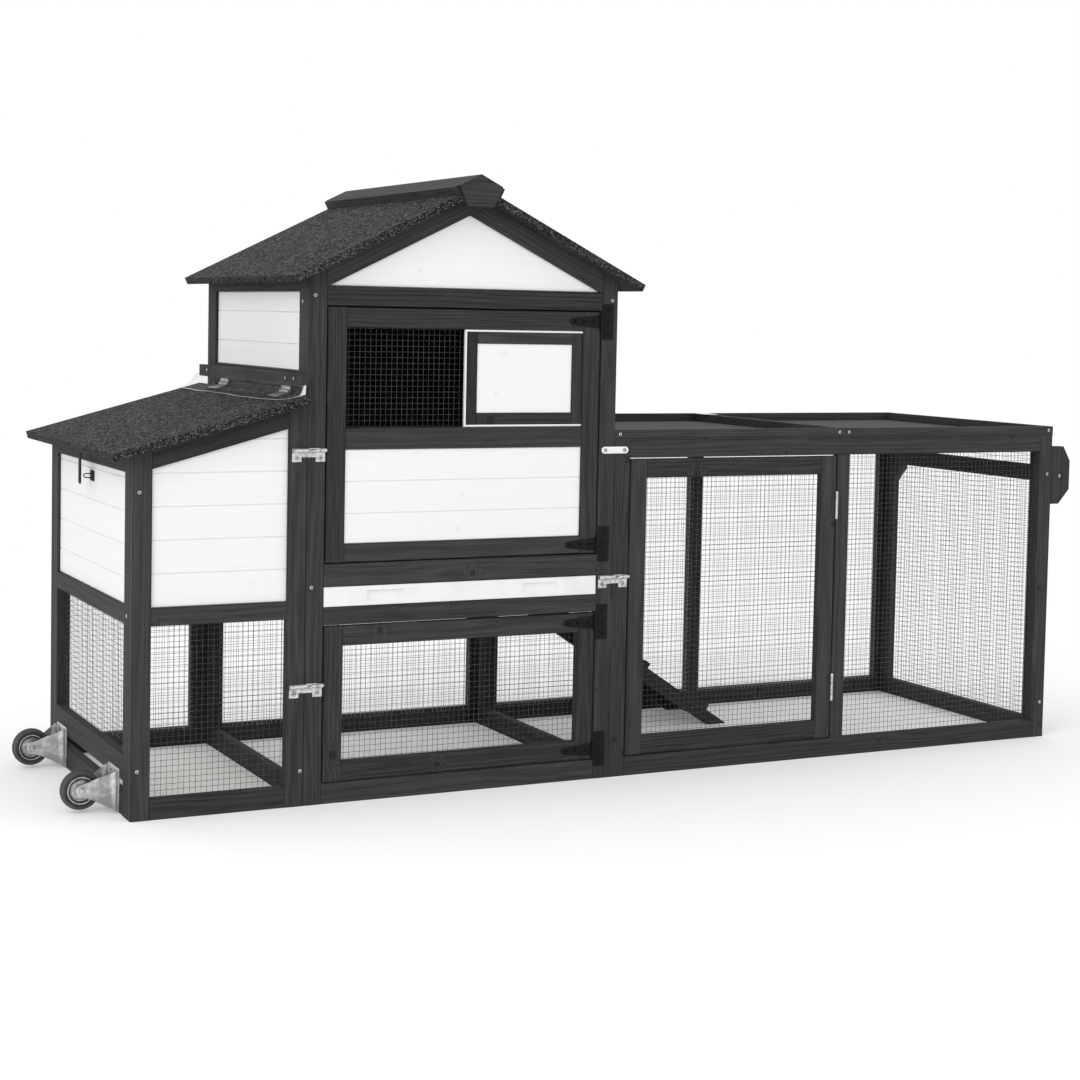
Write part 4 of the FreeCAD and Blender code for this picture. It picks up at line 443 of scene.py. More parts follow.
def finish_of(name):
    """Makes a finish the first time that it is asked for."""
    if name not in FINISHES:
        colours = bpy.context.scene.tractor_colours
        FINISHES[name] = {
            "stained timber": lambda: stained_timber(colours),
            "white boards": lambda: white_paint(colours),
            "plain wood board": lambda: bare_board(colours),
            "felt": lambda: roofing_felt(colours),
            "galvanised wire": lambda: zinc_plate("galvanised wire", colours, colours.wire, 0.42),
            "zinc steel": lambda: zinc_plate("zinc steel", colours, colours.zinc, 0.26),
            "pressed zinc": lambda: zinc_plate("pressed zinc", colours, colours.zinc, 0.3, fork_shade),
            "black steel": lambda: black_paint(colours),
            "white plate": lambda: white_enamel("white plate", colours.enamel),
            "white sheet": lambda: white_enamel("white sheet", colours.enamel),
            "clear sheet": lambda: clear_vinyl(colours),
            "tyre": lambda: tyre_rubber(colours),
        }[name]()
    return FINISHES[name]


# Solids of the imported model

def solids_of(node):
    """The separate solids of a CAD node, as (corners, faces) with the corners merged.

    Faces belong together where an edge is shared by two of them, so that two solids which only
    touch stay apart.
    """
    mesh = NODES[node].data
    mesh.calc_loop_triangles()
    places = np.zeros(len(mesh.vertices) * 3)
    mesh.vertices.foreach_get("co", places)
    places = places.reshape(-1, 3)
    triangles = np.array([t.vertices for t in mesh.loop_triangles])
    _, first, welded = np.unique(np.round(places * 1e5).astype(np.int64), axis=0, return_index=True,
                                 return_inverse=True)
    triangles = welded.reshape(-1)[triangles]
    kept = [t for t in triangles.tolist() if len(set(t)) == 3]
    places = places[first]
    owners = {}
    for number, (a, b, c) in enumerate(kept):
        for pair in ((a, b), (b, c), (c, a)):
            owners.setdefault((min(pair), max(pair)), []).append(number)
    near = [[] for _ in kept]
    for faces in owners.values():
        if len(faces) == 2:
            near[faces[0]].append(faces[1])
            near[faces[1]].append(faces[0])
    return [own_corners(places, [kept[n] for n in group]) for group in groups_of(near)]


def groups_of(near):
    """Connected groups in a list of neighbour lists."""
    left, groups = set(range(len(near))), []
    for start in range(len(near)):
        if start not in left:
            continue
        left.discard(start)
        group, queue = [start], [start]
        while queue:
            for other in near[queue.pop()]:
                if other in left:
                    left.discard(other)
                    group.append(other)
                    queue.append(other)
        groups.append(group)
    return groups


def own_corners(places, faces):
    used, faces = np.unique(np.array(faces), return_inverse=True)
    return places[used], faces.reshape(-1, 3)


def box_of(corners):
    return corners.min(0), corners.max(0)


def flat_mesh(corners, faces, name="solid"):
    """A mesh of one solid, with the triangles of each flat face joined."""
    mesh = bpy.data.meshes.new(name)
    mesh.from_pydata([tuple(c) for c in corners], [], [tuple(int(i) for i in f) for f in faces])
    work = bmesh.new()
    work.from_mesh(mesh)
    bmesh.ops.dissolve_limit(work, angle_limit=math.radians(0.6), verts=work.verts, edges=work.edges)
    work.to_mesh(mesh)
    work.free()
    return mesh


def new_piece(name, mesh, finish, node=None, body=None):
    """An object at the origin with its finish, riding on its body and standing for its node."""
    piece = bpy.data.objects.new(name, mesh)
    bpy.context.scene.collection.objects.link(piece)
    if finish:
        mesh.materials.clear()
        mesh.materials.append(finish_of(finish))
    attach(piece, body or BODY_OF[node])
    if node:
        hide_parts(node)
    return piece


def joined(meshes, name):
    """One mesh out of several, with their attributes and materials."""
    work = bmesh.new()
    for mesh in meshes:
        work.from_mesh(mesh)
    result = bpy.data.meshes.new(name)
    for kind, label, domain in (*GRAIN_LAYERS, ("FLOAT", "deep", "POINT"), ("FLOAT", "pale", "POINT")):
        if meshes[0].attributes.get(label):
            result.attributes.new(label, kind, domain)
    work.to_mesh(result)
    work.free()
    for mesh in meshes:
        bpy.data.meshes.remove(mesh)
    return result


HEAD_SPAN = 9.5 * MM
GRAIN_LAYERS = (("FLOAT_VECTOR", "grain", "POINT"), ("FLOAT", "tone", "POINT"), ("FLOAT", "worn", "FACE"))


# Timber and boards: every stick is a piece of its own tree

def grain_axes(mesh):
    """Unit vectors along the grain, across the wide face and through the thickness of one stick."""
    corners = [v.co for v in mesh.vertices]
    longest = max(mesh.edges, key=lambda e: (corners[e.vertices[0]] - corners[e.vertices[1]]).length)
    along = (corners[longest.vertices[0]] - corners[longest.vertices[1]]).normalized()
    if along[max(range(3), key=lambda i: abs(along[i]))] < 0:
        along = -along
    broad = max(mesh.polygons, key=lambda p: p.area if abs(p.normal.dot(along)) < 0.1 else 0.0)
    thin = broad.normal.normalized()
    return along, thin.cross(along).normalized(), thin


def add_grain(mesh, dice):
    """Gives a stick its grain coordinates, its tone and a mask of its eased corners, which carries painted shade and
    wear.
    """
    along, wide, thin = grain_axes(mesh)
    count = len(mesh.vertices)
    places = np.zeros(count * 3)
    mesh.vertices.foreach_get("co", places)
    places = places.reshape(-1, 3)
    middle = places.mean(0)
    side = dice.choice((-1.0, 1.0))
    shift = np.array([dice.uniform(0.0, 60.0), dice.uniform(-0.03, 0.03), side * dice.uniform(0.015, 0.07)])
    grain = (places - middle) @ np.array([along, wide, thin]).T + shift
    # faces of the eased corners: the mask for painted shade in the gaps and for wear
    worn = [1.0 if is_corner(p.normal, along, wide, thin) else 0.0 for p in mesh.polygons]
    values = {"grain": grain.ravel(), "tone": np.full(count, dice.random()), "worn": worn}
    for kind, label, domain in GRAIN_LAYERS:
        layer = mesh.attributes.new(label, kind, domain)
        layer.data.foreach_set("vector" if kind == "FLOAT_VECTOR" else "value", values[label])
    return mesh


def is_corner(normal, *axes):
    return max(abs(normal.dot(axis)) for axis in axes) < 0.95


def dress_sticks(node, finish, seed, inner_shade_finish=None):
    """Replaces a node by a copy in which each solid has its own grain."""
    dice = np.random.default_rng(seed)
    meshes = [add_grain(flat_mesh(*solid), dice) for solid in solids_of(node)]
    piece = new_piece(f"{node}_grained", joined(meshes, node), finish, node)
    if inner_shade_finish:
        shade_inner_faces(piece, inner_shade_finish)
    return piece


def shade_inner_faces(piece, finish):
    """Gives the faces that look into a house the dark stained finish as painted shade, so that the inside reads dark;
    the tower's wall in the nest below the batten's top takes it too.
    """
    piece.data.materials.append(finish_of(finish))
    middle = house_middle(piece.name)
    _, batten_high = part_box("flap_batten")
    for face in piece.data.polygons:
        inward = middle - face.center
        inward.z = 0.0
        level = abs(face.normal.z) < 0.3
        inner = level and face.normal.dot(inward.normalized()) > 0.2
        in_nest = name_of_house(piece.name) == "tower" and face.normal.x < -0.9 and face.center.z < batten_high.z
        if inner or in_nest:
            face.material_index = 1


def name_of_house(name):
    return "tower" if name.startswith(("tower", "upper")) else "nest"


def house_middle(name):
    low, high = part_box(name_of_house(name) + "_rails")
    return (low + high) / 2


# Sheet metal and other hard parts: copies with rounded edges

def dress_hard(node, finish, width, segments=2):
    """Replaces a node by a copy with narrow rounded edges, the screw heads of black steel marked as deep in tone."""
    pieces = []
    for corners, faces in solids_of(node):
        mesh = flat_mesh(corners, faces)
        extent = corners.max(0) - corners.min(0)
        mesh = rounded(mesh, min(width, min(extent) * 0.3), segments)
        head = 1.0 if finish == "black steel" and max(extent) < HEAD_SPAN else 0.0
        mesh.attributes.new("deep", "FLOAT", "POINT").data.foreach_set("value", [head] * len(mesh.vertices))
        pieces.append(mesh)
    return new_piece(f"{node}_rounded", joined(pieces, node), finish, node)


def rounded(mesh, width, segments):
    """The mesh with its sharp edges bevelled, shaded smooth between flat faces."""
    holder = bpy.data.objects.new("bevelled", mesh)
    bpy.context.scene.collection.objects.link(holder)
    bevel = holder.modifiers.new("bevel", "BEVEL")
    bevel.width = width
    bevel.segments = segments
    bevel.limit_method = "ANGLE"
    bevel.angle_limit = math.radians(38)
    bevel.harden_normals = False
    result = as_plain_mesh(holder)
    bpy.data.meshes.remove(mesh)
    result.shade_smooth()
    result.set_sharp_from_angle(angle=math.radians(40))
    return result


def as_plain_mesh(holder):
    """The object's evaluated mesh; the object and its modifiers are then removed."""
    graph = bpy.context.evaluated_depsgraph_get()
    mesh = bpy.data.meshes.new_from_object(holder.evaluated_get(graph), depsgraph=graph,
                                           preserve_all_data_layers=True)
    holder.modifiers.clear()
    bpy.data.objects.remove(holder)
    return mesh


# Geometry nodes

class Pattern(Graph):
    """A Geometry Nodes tree with named inputs, ending in Realize Instances and Set Material."""

    def __init__(self, name, sockets):
        super().__init__(bpy.data.node_groups.new(name, "GeometryNodeTree"))
        self.tree.interface.new_socket("Geometry", in_out="INPUT", socket_type="NodeSocketGeometry")
        for label, kind in sockets.items():
            self.tree.interface.new_socket(label, in_out="INPUT", socket_type=f"NodeSocket{kind}")
        self.tree.interface.new_socket("Geometry", in_out="OUTPUT", socket_type="NodeSocketGeometry")
        self.inputs = self.add("NodeGroupInput")

    def done(self, geometry, finish):
        real = self.add("GeometryNodeRealizeInstances", None, {"Geometry": geometry})["Geometry"]
        set_finish = self.add("GeometryNodeSetMaterial", None, {"Geometry": real, "Material": finish})
        self.add("NodeGroupOutput", None, {"Geometry": set_finish["Geometry"]})
        return self.tree

    def grow(self, values, base=None):
        """Runs the tree once on a base mesh and returns the plain mesh."""
        holder = bpy.data.objects.new("grown", base or bpy.data.meshes.new("empty"))
        bpy.context.scene.collection.objects.link(holder)
        modifier = holder.modifiers.new("pattern", "NODES")
        modifier.node_group = self.tree
        for item in self.tree.interface.items_tree:
            if item.in_out == "INPUT" and item.name in values:
                modifier[item.identifier] = values[item.name]
        return as_plain_mesh(holder)


def wire_pattern(finish):
    """Parallel straight wires: Count of them, Step apart, each as long as Run."""
    sheet = Pattern("parallel wires", {"First": "Vector", "Step": "Vector", "Count": "Int", "Run": "Vector",
                                       "Radius": "Float", "Waver": "Float", "Seed": "Int"})
    get = sheet.inputs
    line = sheet.add("GeometryNodeMeshLine", {"mode": "OFFSET"},
                     {"Count": get["Count"], "Start Location": get["First"], "Offset": get["Step"]})["Mesh"]
    low = get["Waver"] * -1.0
    jitter = sheet.add("FunctionNodeRandomValue", {"data_type": "FLOAT"},
                       {"Min_001": low, "Max_001": get["Waver"], "Seed": get["Seed"]})["Value_001"]
    direction = sheet.vector("NORMALIZE", get["Step"])["Vector"]
    shift = sheet.add("ShaderNodeVectorMath", {"operation": "SCALE"}, {"Vector": direction, "Scale": jitter})["Vector"]
    line = sheet.add("GeometryNodeSetPosition", None, {"Geometry": line, "Offset": shift})["Geometry"]
    run = sheet.add("GeometryNodeCurvePrimitiveLine", {"mode": "POINTS"}, {"End": get["Run"]})["Curve"]
    ring = sheet.add("GeometryNodeCurvePrimitiveCircle", {"mode": "RADIUS"},
                     {"Resolution": 6, "Radius": get["Radius"]})["Curve"]
    wire = sheet.add("GeometryNodeCurveToMesh", None, {"Curve": run, "Profile Curve": ring, "Fill Caps": True})["Mesh"]
    placed = sheet.add("GeometryNodeInstanceOnPoints", None, {"Points": line, "Instance": wire})["Instances"]
    sheet.done(placed, finish)
    return sheet


def screw_pattern(finish):
    """A head on every point, standing along the point's own direction."""
    sheet = Pattern("screw heads", {"Head": "Object", "Seed": "Int"})
    facing = sheet.add("GeometryNodeInputNamedAttribute", {"data_type": "FLOAT_VECTOR"}, {"Name": "facing"})["Attribute"]
    turned = sheet.add("FunctionNodeAlignRotationToVector", {"axis": "Z"}, {"Vector": facing})["Rotation"]
    spin = sheet.add("FunctionNodeRandomValue", {"data_type": "FLOAT_VECTOR"},
                     {"Min": (0.0, 0.0, 0.0), "Max": (0.0, 0.0, math.tau), "Seed": sheet.inputs["Seed"]})["Value"]
    turned = sheet.add("FunctionNodeRotateRotation", {"rotation_space": "LOCAL"},
                       {"Rotation": turned, "Rotate By": spin})["Rotation"]
    head = sheet.add("GeometryNodeObjectInfo", None, {"Object": sheet.inputs["Head"]})["Geometry"]
    points = sheet.add("GeometryNodeMeshToPoints", None, {"Mesh": sheet.inputs["Geometry"]})["Points"]
    placed = sheet.add("GeometryNodeInstanceOnPoints", None,
                       {"Points": points, "Instance": head, "Rotation": turned})["Instances"]
    sheet.done(placed, finish)
    return sheet


# Welded wire panels

def wires_of_layer(pattern, corners, upright, sizes, seed):
    """The wires that fill one layer of a panel; the layer is thin along its normal."""
    low, high = box_of(corners)
    extent = high - low
    normal = int(np.argmin(extent))
    level = [axis for axis in (0, 1) if axis != normal][0]
    across, run = (level, 2) if upright else (2, level)
    pitch, radius = sizes.pitch, sizes.diameter / 2
    count = int(extent[across] / pitch)
    first = (low + high) / 2
    first[across] -= (count - 1) * pitch / 2
    first[run] = low[run]
    step, reach = np.zeros(3), np.zeros(3)
    step[across] = pitch
    reach[run] = extent[run]
    return pattern.grow({"First": first.tolist(), "Step": step.tolist(), "Count": count, "Run": reach.tolist(),
                         "Radius": radius, "Waver": sizes.waver, "Seed": seed})


def dress_wire(node, pattern, sizes, seed):
    """Replaces a mesh node by round wires, each panel's layers taken in turn."""
    meshes, seen = [], {}
    for number, (corners, _) in enumerate(solids_of(node)):
        low, high = box_of(corners)
        normal = int(np.argmin(high - low))
        key = tuple(np.round(np.delete(np.r_[low, high], [normal, normal + 3]), 3)) + (normal, round(low[normal], 1))
        upright = key not in seen
        seen[key] = True
        wires = wires_of_layer(pattern, corners, upright, sizes, seed + number)
        # painted light: the back panels' wires are marked pale, to be painted lighter
        pale = 1.0 if normal == 1 and low[1] > 0 else 0.0
        wires.attributes.new("pale", "FLOAT", "POINT").data.foreach_set("value", [pale] * len(wires.vertices))
        meshes.append(wires)
    mesh = joined(meshes, node)
    mesh.shade_smooth()
    mesh.set_sharp_from_angle(angle=math.radians(70))
    return new_piece(f"{node}_wires", mesh, "galvanised wire", node)


# Screws

def screw_head(radius, height):
    """A domed head with a cross recess, standing on the plane z = 0 on a thin flange; the recess and the flange are
    marked deep for painted shade.
    """
    mesh = bpy.data.meshes.new("screw head")
    work = bmesh.new()
    sides, rings = 16, 4
    profile = [(radius * math.cos(i / rings * math.pi / 2 * 0.86), height * math.sin(i / rings * math.pi / 2 * 0.86))
               for i in range(rings + 1)]
    # a thin flange just above the plate round the head's foot, to carry a painted shadow ring
    profile = [(radius * 1.22, 0.0), (radius * 1.2, 0.06 * MM)] + profile[1:]
    loops = []
    for r, z in profile:
        loops.append([work.verts.new((r * math.cos(a), r * math.sin(a), z))
                      for a in (i / sides * math.tau for i in range(sides))])
    for lower, upper in zip(loops, loops[1:]):
        for i in range(sides):
            j = (i + 1) % sides
            work.faces.new((lower[i], lower[j], upper[j], upper[i]))
    work.faces.new(loops[0][::-1])
    top = work.faces.new(loops[-1])
    recess_cross(work, top, profile[-1][1], height)
    work.to_mesh(mesh)
    work.free()
    reach = [face.center.xy.length / radius for face in mesh.polygons]
    # painted shade: the recess at the top and the flange round the foot are marked deep
    deep = [1.0 if share < 0.42 or share > 0.97 else 0.0 for share in reach]
    mesh.attributes.new("deep", "FLOAT", "FACE").data.foreach_set("value", deep)
    return mesh


def recess_cross(work, top, level, height):
    """Sinks a four-armed star into the top face."""
    ring = list(top.verts)
    work.faces.remove(top)
    inner = []
    for i, corner in enumerate(ring):
        share = 0.78 if i % 4 == 0 else 0.3
        inner.append(work.verts.new((corner.co.x * share, corner.co.y * share, level)))
    deep = [work.verts.new((v.co.x * 0.55, v.co.y * 0.55, level - height * 0.6)) for v in inner]
    count = len(ring)
    for i in range(count):
        j = (i + 1) % count
        work.faces.new((ring[i], ring[j], inner[j], inner[i]))
        work.faces.new((inner[i], inner[j], deep[j], deep[i]))
    work.faces.new(deep)


def screw_places(node):
    """Foot and direction of each screw head among a node's solids."""
    places = []
    for corners, faces in solids_of(node):
        low, high = box_of(corners)
        if max(high - low) > HEAD_SPAN:
            continue
        axis = int(np.argmin(high - low))
        middle = (low + high) / 2
        wide_low = np.ptp(np.delete(corners[corners[:, axis] < middle[axis]], axis, 1), axis=0).max()
        wide_high = np.ptp(np.delete(corners[corners[:, axis] > middle[axis]], axis, 1), axis=0).max()
        facing = np.zeros(3)
        facing[axis] = 1.0 if wide_low > wide_high else -1.0
        foot = middle.copy()
        foot[axis] = low[axis] if facing[axis] > 0 else high[axis]
        places.append((foot, facing))
    return places


def on_black_hinge(foot):
    """Whether a screw stands on a leaf of the black hinges."""
    for corners, _ in solids_of("tee_hinge_leaves"):
        low, high = box_of(corners)
        if np.all(foot > low - 1 * MM) and np.all(foot < high + 1 * MM):
            return True
    return False


def dress_screws(places, node, pattern, head, name, finish, seed):
    base = bpy.data.meshes.new("screw feet")
    base.from_pydata([tuple(foot) for foot, _ in places], [], [])
    layer = base.attributes.new("facing", "FLOAT_VECTOR", "POINT")
    layer.data.foreach_set("vector", np.array([facing for _, facing in places]).ravel())
    mesh = pattern.grow({"Head": head, "Seed": seed}, base)
    mesh.shade_smooth()
    mesh.set_sharp_from_angle(angle=math.radians(35))
    return new_piece(name, mesh, finish, None, BODY_OF[node])


# Wheels

def wheel_centres():
    """Axle centre of each wheel body, from its rim's box."""
    centres = {}
    for body in ("front_wheel", "back_wheel"):
        low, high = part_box(body.replace("wheel", "rim"))
        centres[body] = (low + high) / 2
    return centres


def turned_piece(name, profile, body, node, finish, sides=64):
    """A closed profile of (radius, offset along the axle, painted shade) turned round a wheel's axle."""
    centre = wheel_centres()[body]
    work = bmesh.new()
    deep = work.faces.layers.float.new("deep")
    rings = []
    for radius, offset, _ in profile:
        rings.append([work.verts.new((centre.x + radius * math.cos(a), centre.y + offset,
                                      centre.z + radius * math.sin(a)))
                      for a in (i / sides * math.tau for i in range(sides))])
    # the third entry of the profile marks faces for painted shade in the zinc finish
    darkness = [entry[2] for entry in profile]
    for k, (inner, outer) in enumerate(zip(rings, rings[1:] + rings[:1])):
        shade = min(darkness[k], darkness[(k + 1) % len(profile)])
        for i in range(sides):
            j = (i + 1) % sides
            work.faces.new((inner[i], inner[j], outer[j], outer[i]))[deep] = shade
    bmesh.ops.recalc_face_normals(work, faces=work.faces)
    mesh = bpy.data.meshes.new(name)
    work.to_mesh(mesh)
    work.free()
    mesh.shade_smooth()
    mesh.set_sharp_from_angle(angle=math.radians(32))
    return new_piece(name, mesh, finish, node)


def both_faces(face, node):
    """A profile of (share of the radius, share of half the width, painted shade) and its mirror image."""
    low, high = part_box(node)
    radius, half = (high.z - low.z) / 2, (high.y - low.y) / 2
    near = [(share * radius, lift * half, dark) for share, lift, dark in face]
    return near + [(reach, -offset, dark) for reach, offset, dark in near[::-1]]


def rim_profile(node):
    """Pressed disc: bright rolled edge, a deep groove, two raised rings, a dished web and the hub, with painted shade
    in the groove and in the dips beside the rings.
    """
    return both_faces([
        (0.16, 1.0, 0), (0.3, 1.0, 0), (0.32, 0.7, 0), (0.36, 0.5, 0.5), (0.4, 0.46, 0.5), (0.46, 0.52, 0),
        (0.5, 0.62, 0), (0.56, 0.62, 0), (0.6, 0.5, 0.35), (0.66, 0.48, 0.35), (0.7, 0.56, 0), (0.76, 0.6, 0),
        (0.8, 0.5, 0.9), (0.81, 0.3, 1), (0.89, 0.3, 1), (0.9, 0.6, 0.9), (0.92, 0.84, 0), (0.97, 0.86, 0),
        (1.0, 0.78, 0)], node)


def tyre_profile(node):
    """Solid tyre: rolled shoulder beside the rim, ribbed sidewall, softly crowned tread with two grooves."""
    return both_faces([
        (0.7, 0.9, 0), (0.73, 0.97, 0), (0.77, 1.0, 0), (0.79, 0.93, 0), (0.81, 0.93, 0), (0.83, 1.0, 0),
        (0.88, 0.98, 0), (0.94, 0.86, 0), (0.975, 0.66, 0), (0.99, 0.46, 0), (0.975, 0.42, 0), (0.975, 0.36, 0),
        (0.996, 0.32, 0), (1.0, 0.12, 0)], node)


# Clear flap over the nest roof's hinges

def flap_mesh():
    """A soft sheet that drops under the batten and bends out on to the roof, its front corner cut round."""
    low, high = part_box("weather_flap")
    batten_low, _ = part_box("flap_batten")
    base, rise = roof_slope()
    across = [i / 16 for i in range(16)] + [0.965, 1.0]
    along = [low.y + (high.y - low.y) * j / 90 for j in range(91)]
    work = bmesh.new()
    rim = work.verts.layers.float.new("rim")
    rows = []
    for y in along:
        near = min((y - low.y) / CORNER_ROUND, 1.0)
        share = max(math.sqrt(1.0 - (1.0 - near) ** 2), 0.04)
        toe = batten_low.x + (low.x - TOE_REACH - batten_low.x) * share
        wave = 0.0007 * math.sin(y * 19.0) + 0.0004 * math.sin(y * 43.0 + 1.0)
        row = []
        for u in across:
            x = batten_low.x - 0.5 * MM + (toe - batten_low.x) * u
            drop = (batten_low.z + 3 * MM - base - rise * batten_low.x) * (1.0 - u) ** 3.2
            z = base + rise * x + 2.2 * MM + drop + u * (wave + 0.001) + (1.0 - share) * u * 0.006
            corner = work.verts.new((x, y, min(z, high.z - 0.5 * MM)))
            # marks the toe and the front end as rim, for the painted highlight along the cut edge
            corner[rim] = 1.0 if u >= across[-2] or y <= along[1] else 0.0
            row.append(corner)
        rows.append(row)
    for first, second in zip(rows, rows[1:]):
        for i in range(len(across) - 1):
            work.faces.new((first[i], second[i], second[i + 1], first[i + 1]))
    bmesh.ops.recalc_face_normals(work, faces=work.faces)
    if sum(f.normal.z for f in work.faces) < 0:
        bmesh.ops.reverse_faces(work, faces=work.faces)
    mesh = bpy.data.meshes.new("clear flap")
    work.to_mesh(mesh)
    work.free()
    return mesh


CORNER_ROUND = 0.15
TOE_REACH = 0.008


def roof_slope():
    """Height of the nest roof's top surface as (height at x = 0, rise per metre), from the felt's box."""
    corners = np.vstack([corners for corners, _ in solids_of("nest_roof_felt")])
    high_end = corners[np.argmax(corners[:, 2])]
    eave = corners[corners[:, 0] < corners[:, 0].min() + 0.012]
    low_end = eave[np.argmax(eave[:, 2])]
    rise = (high_end[2] - low_end[2]) / (high_end[0] - low_end[0])
    return high_end[2] - rise * high_end[0], rise


# Settings

class TractorColours(bpy.types.PropertyGroup):
    """Colours and surface sizes of the finishes."""

    def colour(name, description, default):  # noqa: N805
        return bpy.props.FloatVectorProperty(name=name, description=description, default=default, subtype="COLOR",
                                             min=0.0, max=1.0)

    stain: colour("Stain", "Deepest tone of the stained timber", (0.0115, 0.0115, 0.012))
    stain_pale: colour("Pale grain", "Tone of the stained timber between its rings", (0.056, 0.056, 0.0575))
    stain_worn: colour("Worn corners", "Tone where the stain is rubbed thin", (0.12, 0.12, 0.12))
    paint: colour("Paint", "White of the painted boards", (0.9, 0.902, 0.905))
    paint_grain: colour("Paint over grain", "Tone of the paint in the grain", (0.7, 0.7, 0.7))
    # tone of the painted shade along the boards' joints and eased corners
    seam_shade: colour("Paint in seams", "Tone of the paint along the boards' joints", (0.72, 0.72, 0.72))
    board: colour("Board", "Late wood of the bare boards", (0.36, 0.26, 0.16))
    board_pale: colour("Pale board", "Early wood of the bare boards", (0.58, 0.47, 0.33))
    felt: colour("Felt", "Ground tone of the roofing felt", (0.011, 0.011, 0.0115))
    felt_grain: colour("Felt grains", "Tone of the palest mineral grains", (0.17, 0.17, 0.17))
    felt_worn: colour("Felt dust", "Tone of dusty streaks on the felt", (0.05, 0.05, 0.05))
    zinc: colour("Zinc", "Tone of the plated fittings", (0.8, 0.805, 0.815))
    wire: colour("Wire", "Tone of the galvanised wire", (0.13, 0.132, 0.135))
    black: colour("Black paint", "Tone of the painted hinges", (0.009, 0.009, 0.0095))
    enamel: colour("Enamel", "White of the tray and the joining plate", (0.87, 0.875, 0.88))
    # tone of the painted highlight along the clear sheet's cut edge
    clear: colour("Clear sheet", "Tone of the sheet's own surface", (0.9, 0.91, 0.92))
    rubber: colour("Rubber", "Tone of the tyres", (0.022, 0.022, 0.023))
    # also the tone of the painted highlights on the tyres' ribs
    rubber_dust_and_highlight: colour("Rubber dust", "Tone of the dust on the tyres", (0.17, 0.17, 0.17))
    knots: bpy.props.FloatProperty(name="Knots", description="Share of the cells that hold a knot", default=0.55,
                                   min=0.0, max=1.0, subtype="FACTOR")
    metallic: bpy.props.FloatProperty(name="Metallic", description="How far the plated steel reflects as metal",
                                      default=0.85, min=0.0, max=1.0, subtype="FACTOR")
    haze: bpy.props.FloatProperty(name="Haze", description="Share of light that the clear sheet scatters",
                                  default=0.03, min=0.0, max=1.0, subtype="FACTOR")
    grain_depth: bpy.props.FloatProperty(name="Grain depth", description="Height of the raised grain",
                                         default=0.00025, unit="LENGTH", subtype="DISTANCE")
    granule: bpy.props.FloatProperty(name="Felt grain size", description="Size of the mineral grains on the felt",
                                     default=0.0026, unit="LENGTH", subtype="DISTANCE")


class TractorWire(bpy.types.PropertyGroup):
    """Sizes of the welded wire."""

    diameter: bpy.props.FloatProperty(name="Wire", description="Diameter of the wires", default=0.00098,
                                      unit="LENGTH", subtype="DISTANCE")
    pitch: bpy.props.FloatProperty(name="Pitch", description="Distance between neighbouring wires", default=0.0127,
                                   unit="LENGTH", subtype="DISTANCE")
    waver: bpy.props.FloatProperty(name="Waver", description="How far a wire may stray from its place",
                                   default=0.0002, unit="LENGTH", subtype="DISTANCE")


class TractorFittings(bpy.types.PropertyGroup):
    """Sizes of the fittings' edges and screws."""

    metal_edge: bpy.props.FloatProperty(name="Metal edge", description="Rounding of the sheet metal's edges",
                                        default=0.0004, unit="LENGTH", subtype="DISTANCE")
    felt_edge: bpy.props.FloatProperty(name="Felt edge", description="Rounding of the felt where it turns down",
                                       default=0.004, unit="LENGTH", subtype="DISTANCE")
    head_radius: bpy.props.FloatProperty(name="Screw head", description="Radius of a screw head", default=0.004,
                                         unit="LENGTH", subtype="DISTANCE")
    head_height: bpy.props.FloatProperty(name="Screw height", description="Height of a screw head", default=0.0016,
                                         unit="LENGTH", subtype="DISTANCE")


class TractorStage(bpy.types.PropertyGroup):
    """Light and camera."""

    key_power: bpy.props.FloatProperty(name="Key light", description="Power of the large front light", default=85.0,
                                       min=0.0, unit="POWER")
    fill_power: bpy.props.FloatProperty(name="Fill light", description="Power of the light at the right",
                                        default=18.0, min=0.0, unit="POWER")
    world_level: bpy.props.FloatProperty(name="Room level", description="Brightness of the room all round",
                                         default=0.92, min=0.0, max=2.0)
    focal: bpy.props.FloatProperty(name="Focal length", description="Focal length on a 36 mm wide sensor",
                                   default=68.05, min=10.0, unit="CAMERA")
    drop: bpy.props.FloatProperty(name="Vertical shift", description="Framing of the view on the canvas",
                                  default=-0.0994, min=-0.5, max=0.5, subtype="FACTOR")


# Operators

class BuildTimber(bpy.types.Operator):
    """Gives every stained stick its own grain"""

    bl_idname = "tractor.timber"
    bl_label = "Stained timber"

    def execute(self, context):
        for seed, node in enumerate(STAINED):
            dress_sticks(node, "stained timber", 100 + seed)
        return {"FINISHED"}


class BuildBoards(bpy.types.Operator):
    """Paints the siding and leaves the nest floor, tray runners, roosts and pop door bare"""

    bl_idname = "tractor.boards"
    bl_label = "Boards"

    def execute(self, context):
        for seed, node in enumerate(PAINTED):
            # painted shade: the siding's inner faces take the dark stained timber
            inner = "stained timber" if node != "sash_panel" else None
            dress_sticks(node, "white boards", 200 + seed, inner)
        for seed, node in enumerate(BARE):
            dress_sticks(node, "plain wood board", 300 + seed)
        return {"FINISHED"}


class BuildRoofs(bpy.types.Operator):
    """Lays soft-edged felt over both roofs"""

    bl_idname = "tractor.roofs"
    bl_label = "Roofing felt"

    def execute(self, context):
        for node in FELTED:
            piece = dress_hard(node, "felt", context.scene.tractor_fittings.felt_edge, 3)
            # marks the top faces, which the felt finish paints lighter as painted light
            level = [1.0 if face.normal.z > 0.8 else 0.0 for face in piece.data.polygons]
            piece.data.attributes.new("level", "FLOAT", "FACE").data.foreach_set("value", level)
        return {"FINISHED"}


